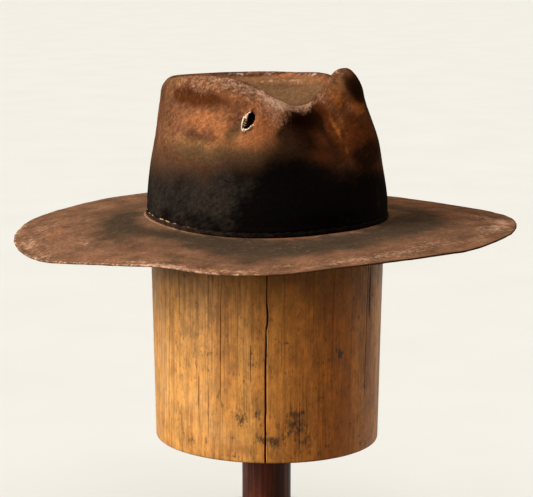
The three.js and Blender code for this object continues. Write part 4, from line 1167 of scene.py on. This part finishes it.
studioLook = {
    "cameraTurn": 28,          # degrees from the wearer's right side towards the front
    "cameraElevation": 10.2,
    "cameraDistance": 1.55,
    "aim": (0, 0, 0.2669),
    "lens": 128.4,
    "floorRadius": 60,
    "floorColours": ("#f1efe6", "#f4f2ea"),
    "worldColour": "#f6f4ee",
    "worldTint": "#ffcf96",    # the warm light that the room returns
    "worldGlow": 0.9,          # what the camera sees past the floor
    "worldStrength": 0.05,     # what it adds to the light on the hat
    # suns that light the floor alone: label, strength, whether it casts the stand's shadow
    "floorWash": [("floor_wash", 2.7, False), ("floor_contact", 0.4, True)],
    # label, degrees to the viewer's right, elevation, distance, size, power, colour
    "lights": [("key", -66, 23, 2.2, 1.5, 96, "#fff9f2"), ("front_fill", 12, 24, 2.6, 2.2, 16, "#ffa552"),
               ("overhead", -20, 75, 2.0, 1.2, 30, "#fff6ee"), ("right_rim", 112, 18, 2.4, 0.8, 20, "#fff0dc")],
}


def towardsViewer(right, elevation, distance):
    yaw, rise = math.radians(studioLook["cameraTurn"] + right), math.radians(elevation)
    flat = distance * math.cos(rise)
    return Vector(studioLook["aim"]) + Vector((-flat * math.cos(yaw), -flat * math.sin(yaw), distance * math.sin(rise)))


# Adds a lamp or camera at a place, looking at a target where one is given
def addThing(data, place=None, target=None):
    thing = bpy.data.objects.new(data.name, data)
    bpy.context.collection.objects.link(thing)
    if target:
        thing.location = place
        thing.rotation_euler = (Vector(target) - place).to_track_quat("-Z", "Y").to_euler()
    return thing


def makeStudio():
    look = studioLook
    material, tree, shader, place = newMaterial("pale painted studio floor")
    # faint brush clouds 170 mm across
    paint = addNode(tree, "TexNoise", {"Vector": place, "Scale": 6.0, "Detail": 2.0})
    colour = addNode(tree, "ValToRGB", {"Fac": paint}, stops=list(zip((0.3, 0.7), look["floorColours"])))
    setSockets(tree, shader, {"Base Color": colour, "Roughness": 0.9, "Specular IOR Level": 0.1})
    mesh = bpy.data.meshes.new("studio_floor")
    rim = [(look["floorRadius"] * math.cos(math.radians(a)), look["floorRadius"] * math.sin(math.radians(a)), -0.0005)
           for a in range(0, 360, 5)]
    mesh.from_pydata(rim, [], [tuple(range(len(rim)))])
    mesh.materials.append(material)
    mesh.update()
    floor = addThing(mesh)
    floor.visible_diffuse = False
    world = bpy.data.worlds.new("studio")
    world.use_nodes = True
    tree = world.node_tree
    seen = addNode(tree, "LightPath").outputs["Is Camera Ray"]
    strength = addNode(tree, "MapRange", {"Value": seen, "To Min": look["worldStrength"],
                                          "To Max": look["worldGlow"]})
    tint = addNode(tree, "Mix", {0: seen, 6: fromHex(look["worldTint"]), 7: fromHex(look["worldColour"])},
                   data_type="RGBA").outputs[2]
    setSockets(tree, tree.nodes["Background"], {"Color": tint, "Strength": strength})
    bpy.context.scene.world = world
    # the lamps light the hat and its stand, and the washes from above light the floor
    onPart = bpy.data.collections.new("lit_hat")
    onFloor = bpy.data.collections.new("lit_floor")
    for thing in bpy.context.scene.objects:
        if thing.type == "MESH" and thing is not floor:
            onPart.objects.link(thing)
    onFloor.objects.link(floor)
    for label, power, shadow in look["floorWash"]:
        wash = bpy.data.lights.new(label, "SUN")
        wash.energy = power
        wash.angle = math.radians(70)
        wash.use_shadow = shadow
        addThing(wash).light_linking.receiver_collection = onFloor
    for label, right, elevation, distance, size, power, colour in look["lights"]:
        lamp = bpy.data.lights.new(label, "AREA")
        lamp.shape = "DISK"
        lamp.size = size
        lamp.energy = power
        lamp.color = fromHex(colour)[:3]
        lamp = addThing(lamp, towardsViewer(right, elevation, distance), look["aim"])
        lamp.light_linking.receiver_collection = onPart
    camera = bpy.data.cameras.new("photo_view")
    camera.lens = look["lens"]
    camera.sensor_width = 36
    viewpoint = towardsViewer(0, look["cameraElevation"], look["cameraDistance"])
    bpy.context.scene.camera = addThing(camera, viewpoint, look["aim"])
    bpy.context.scene.view_settings.view_transform = "Standard"
    print("studio ready")


makeStudio()
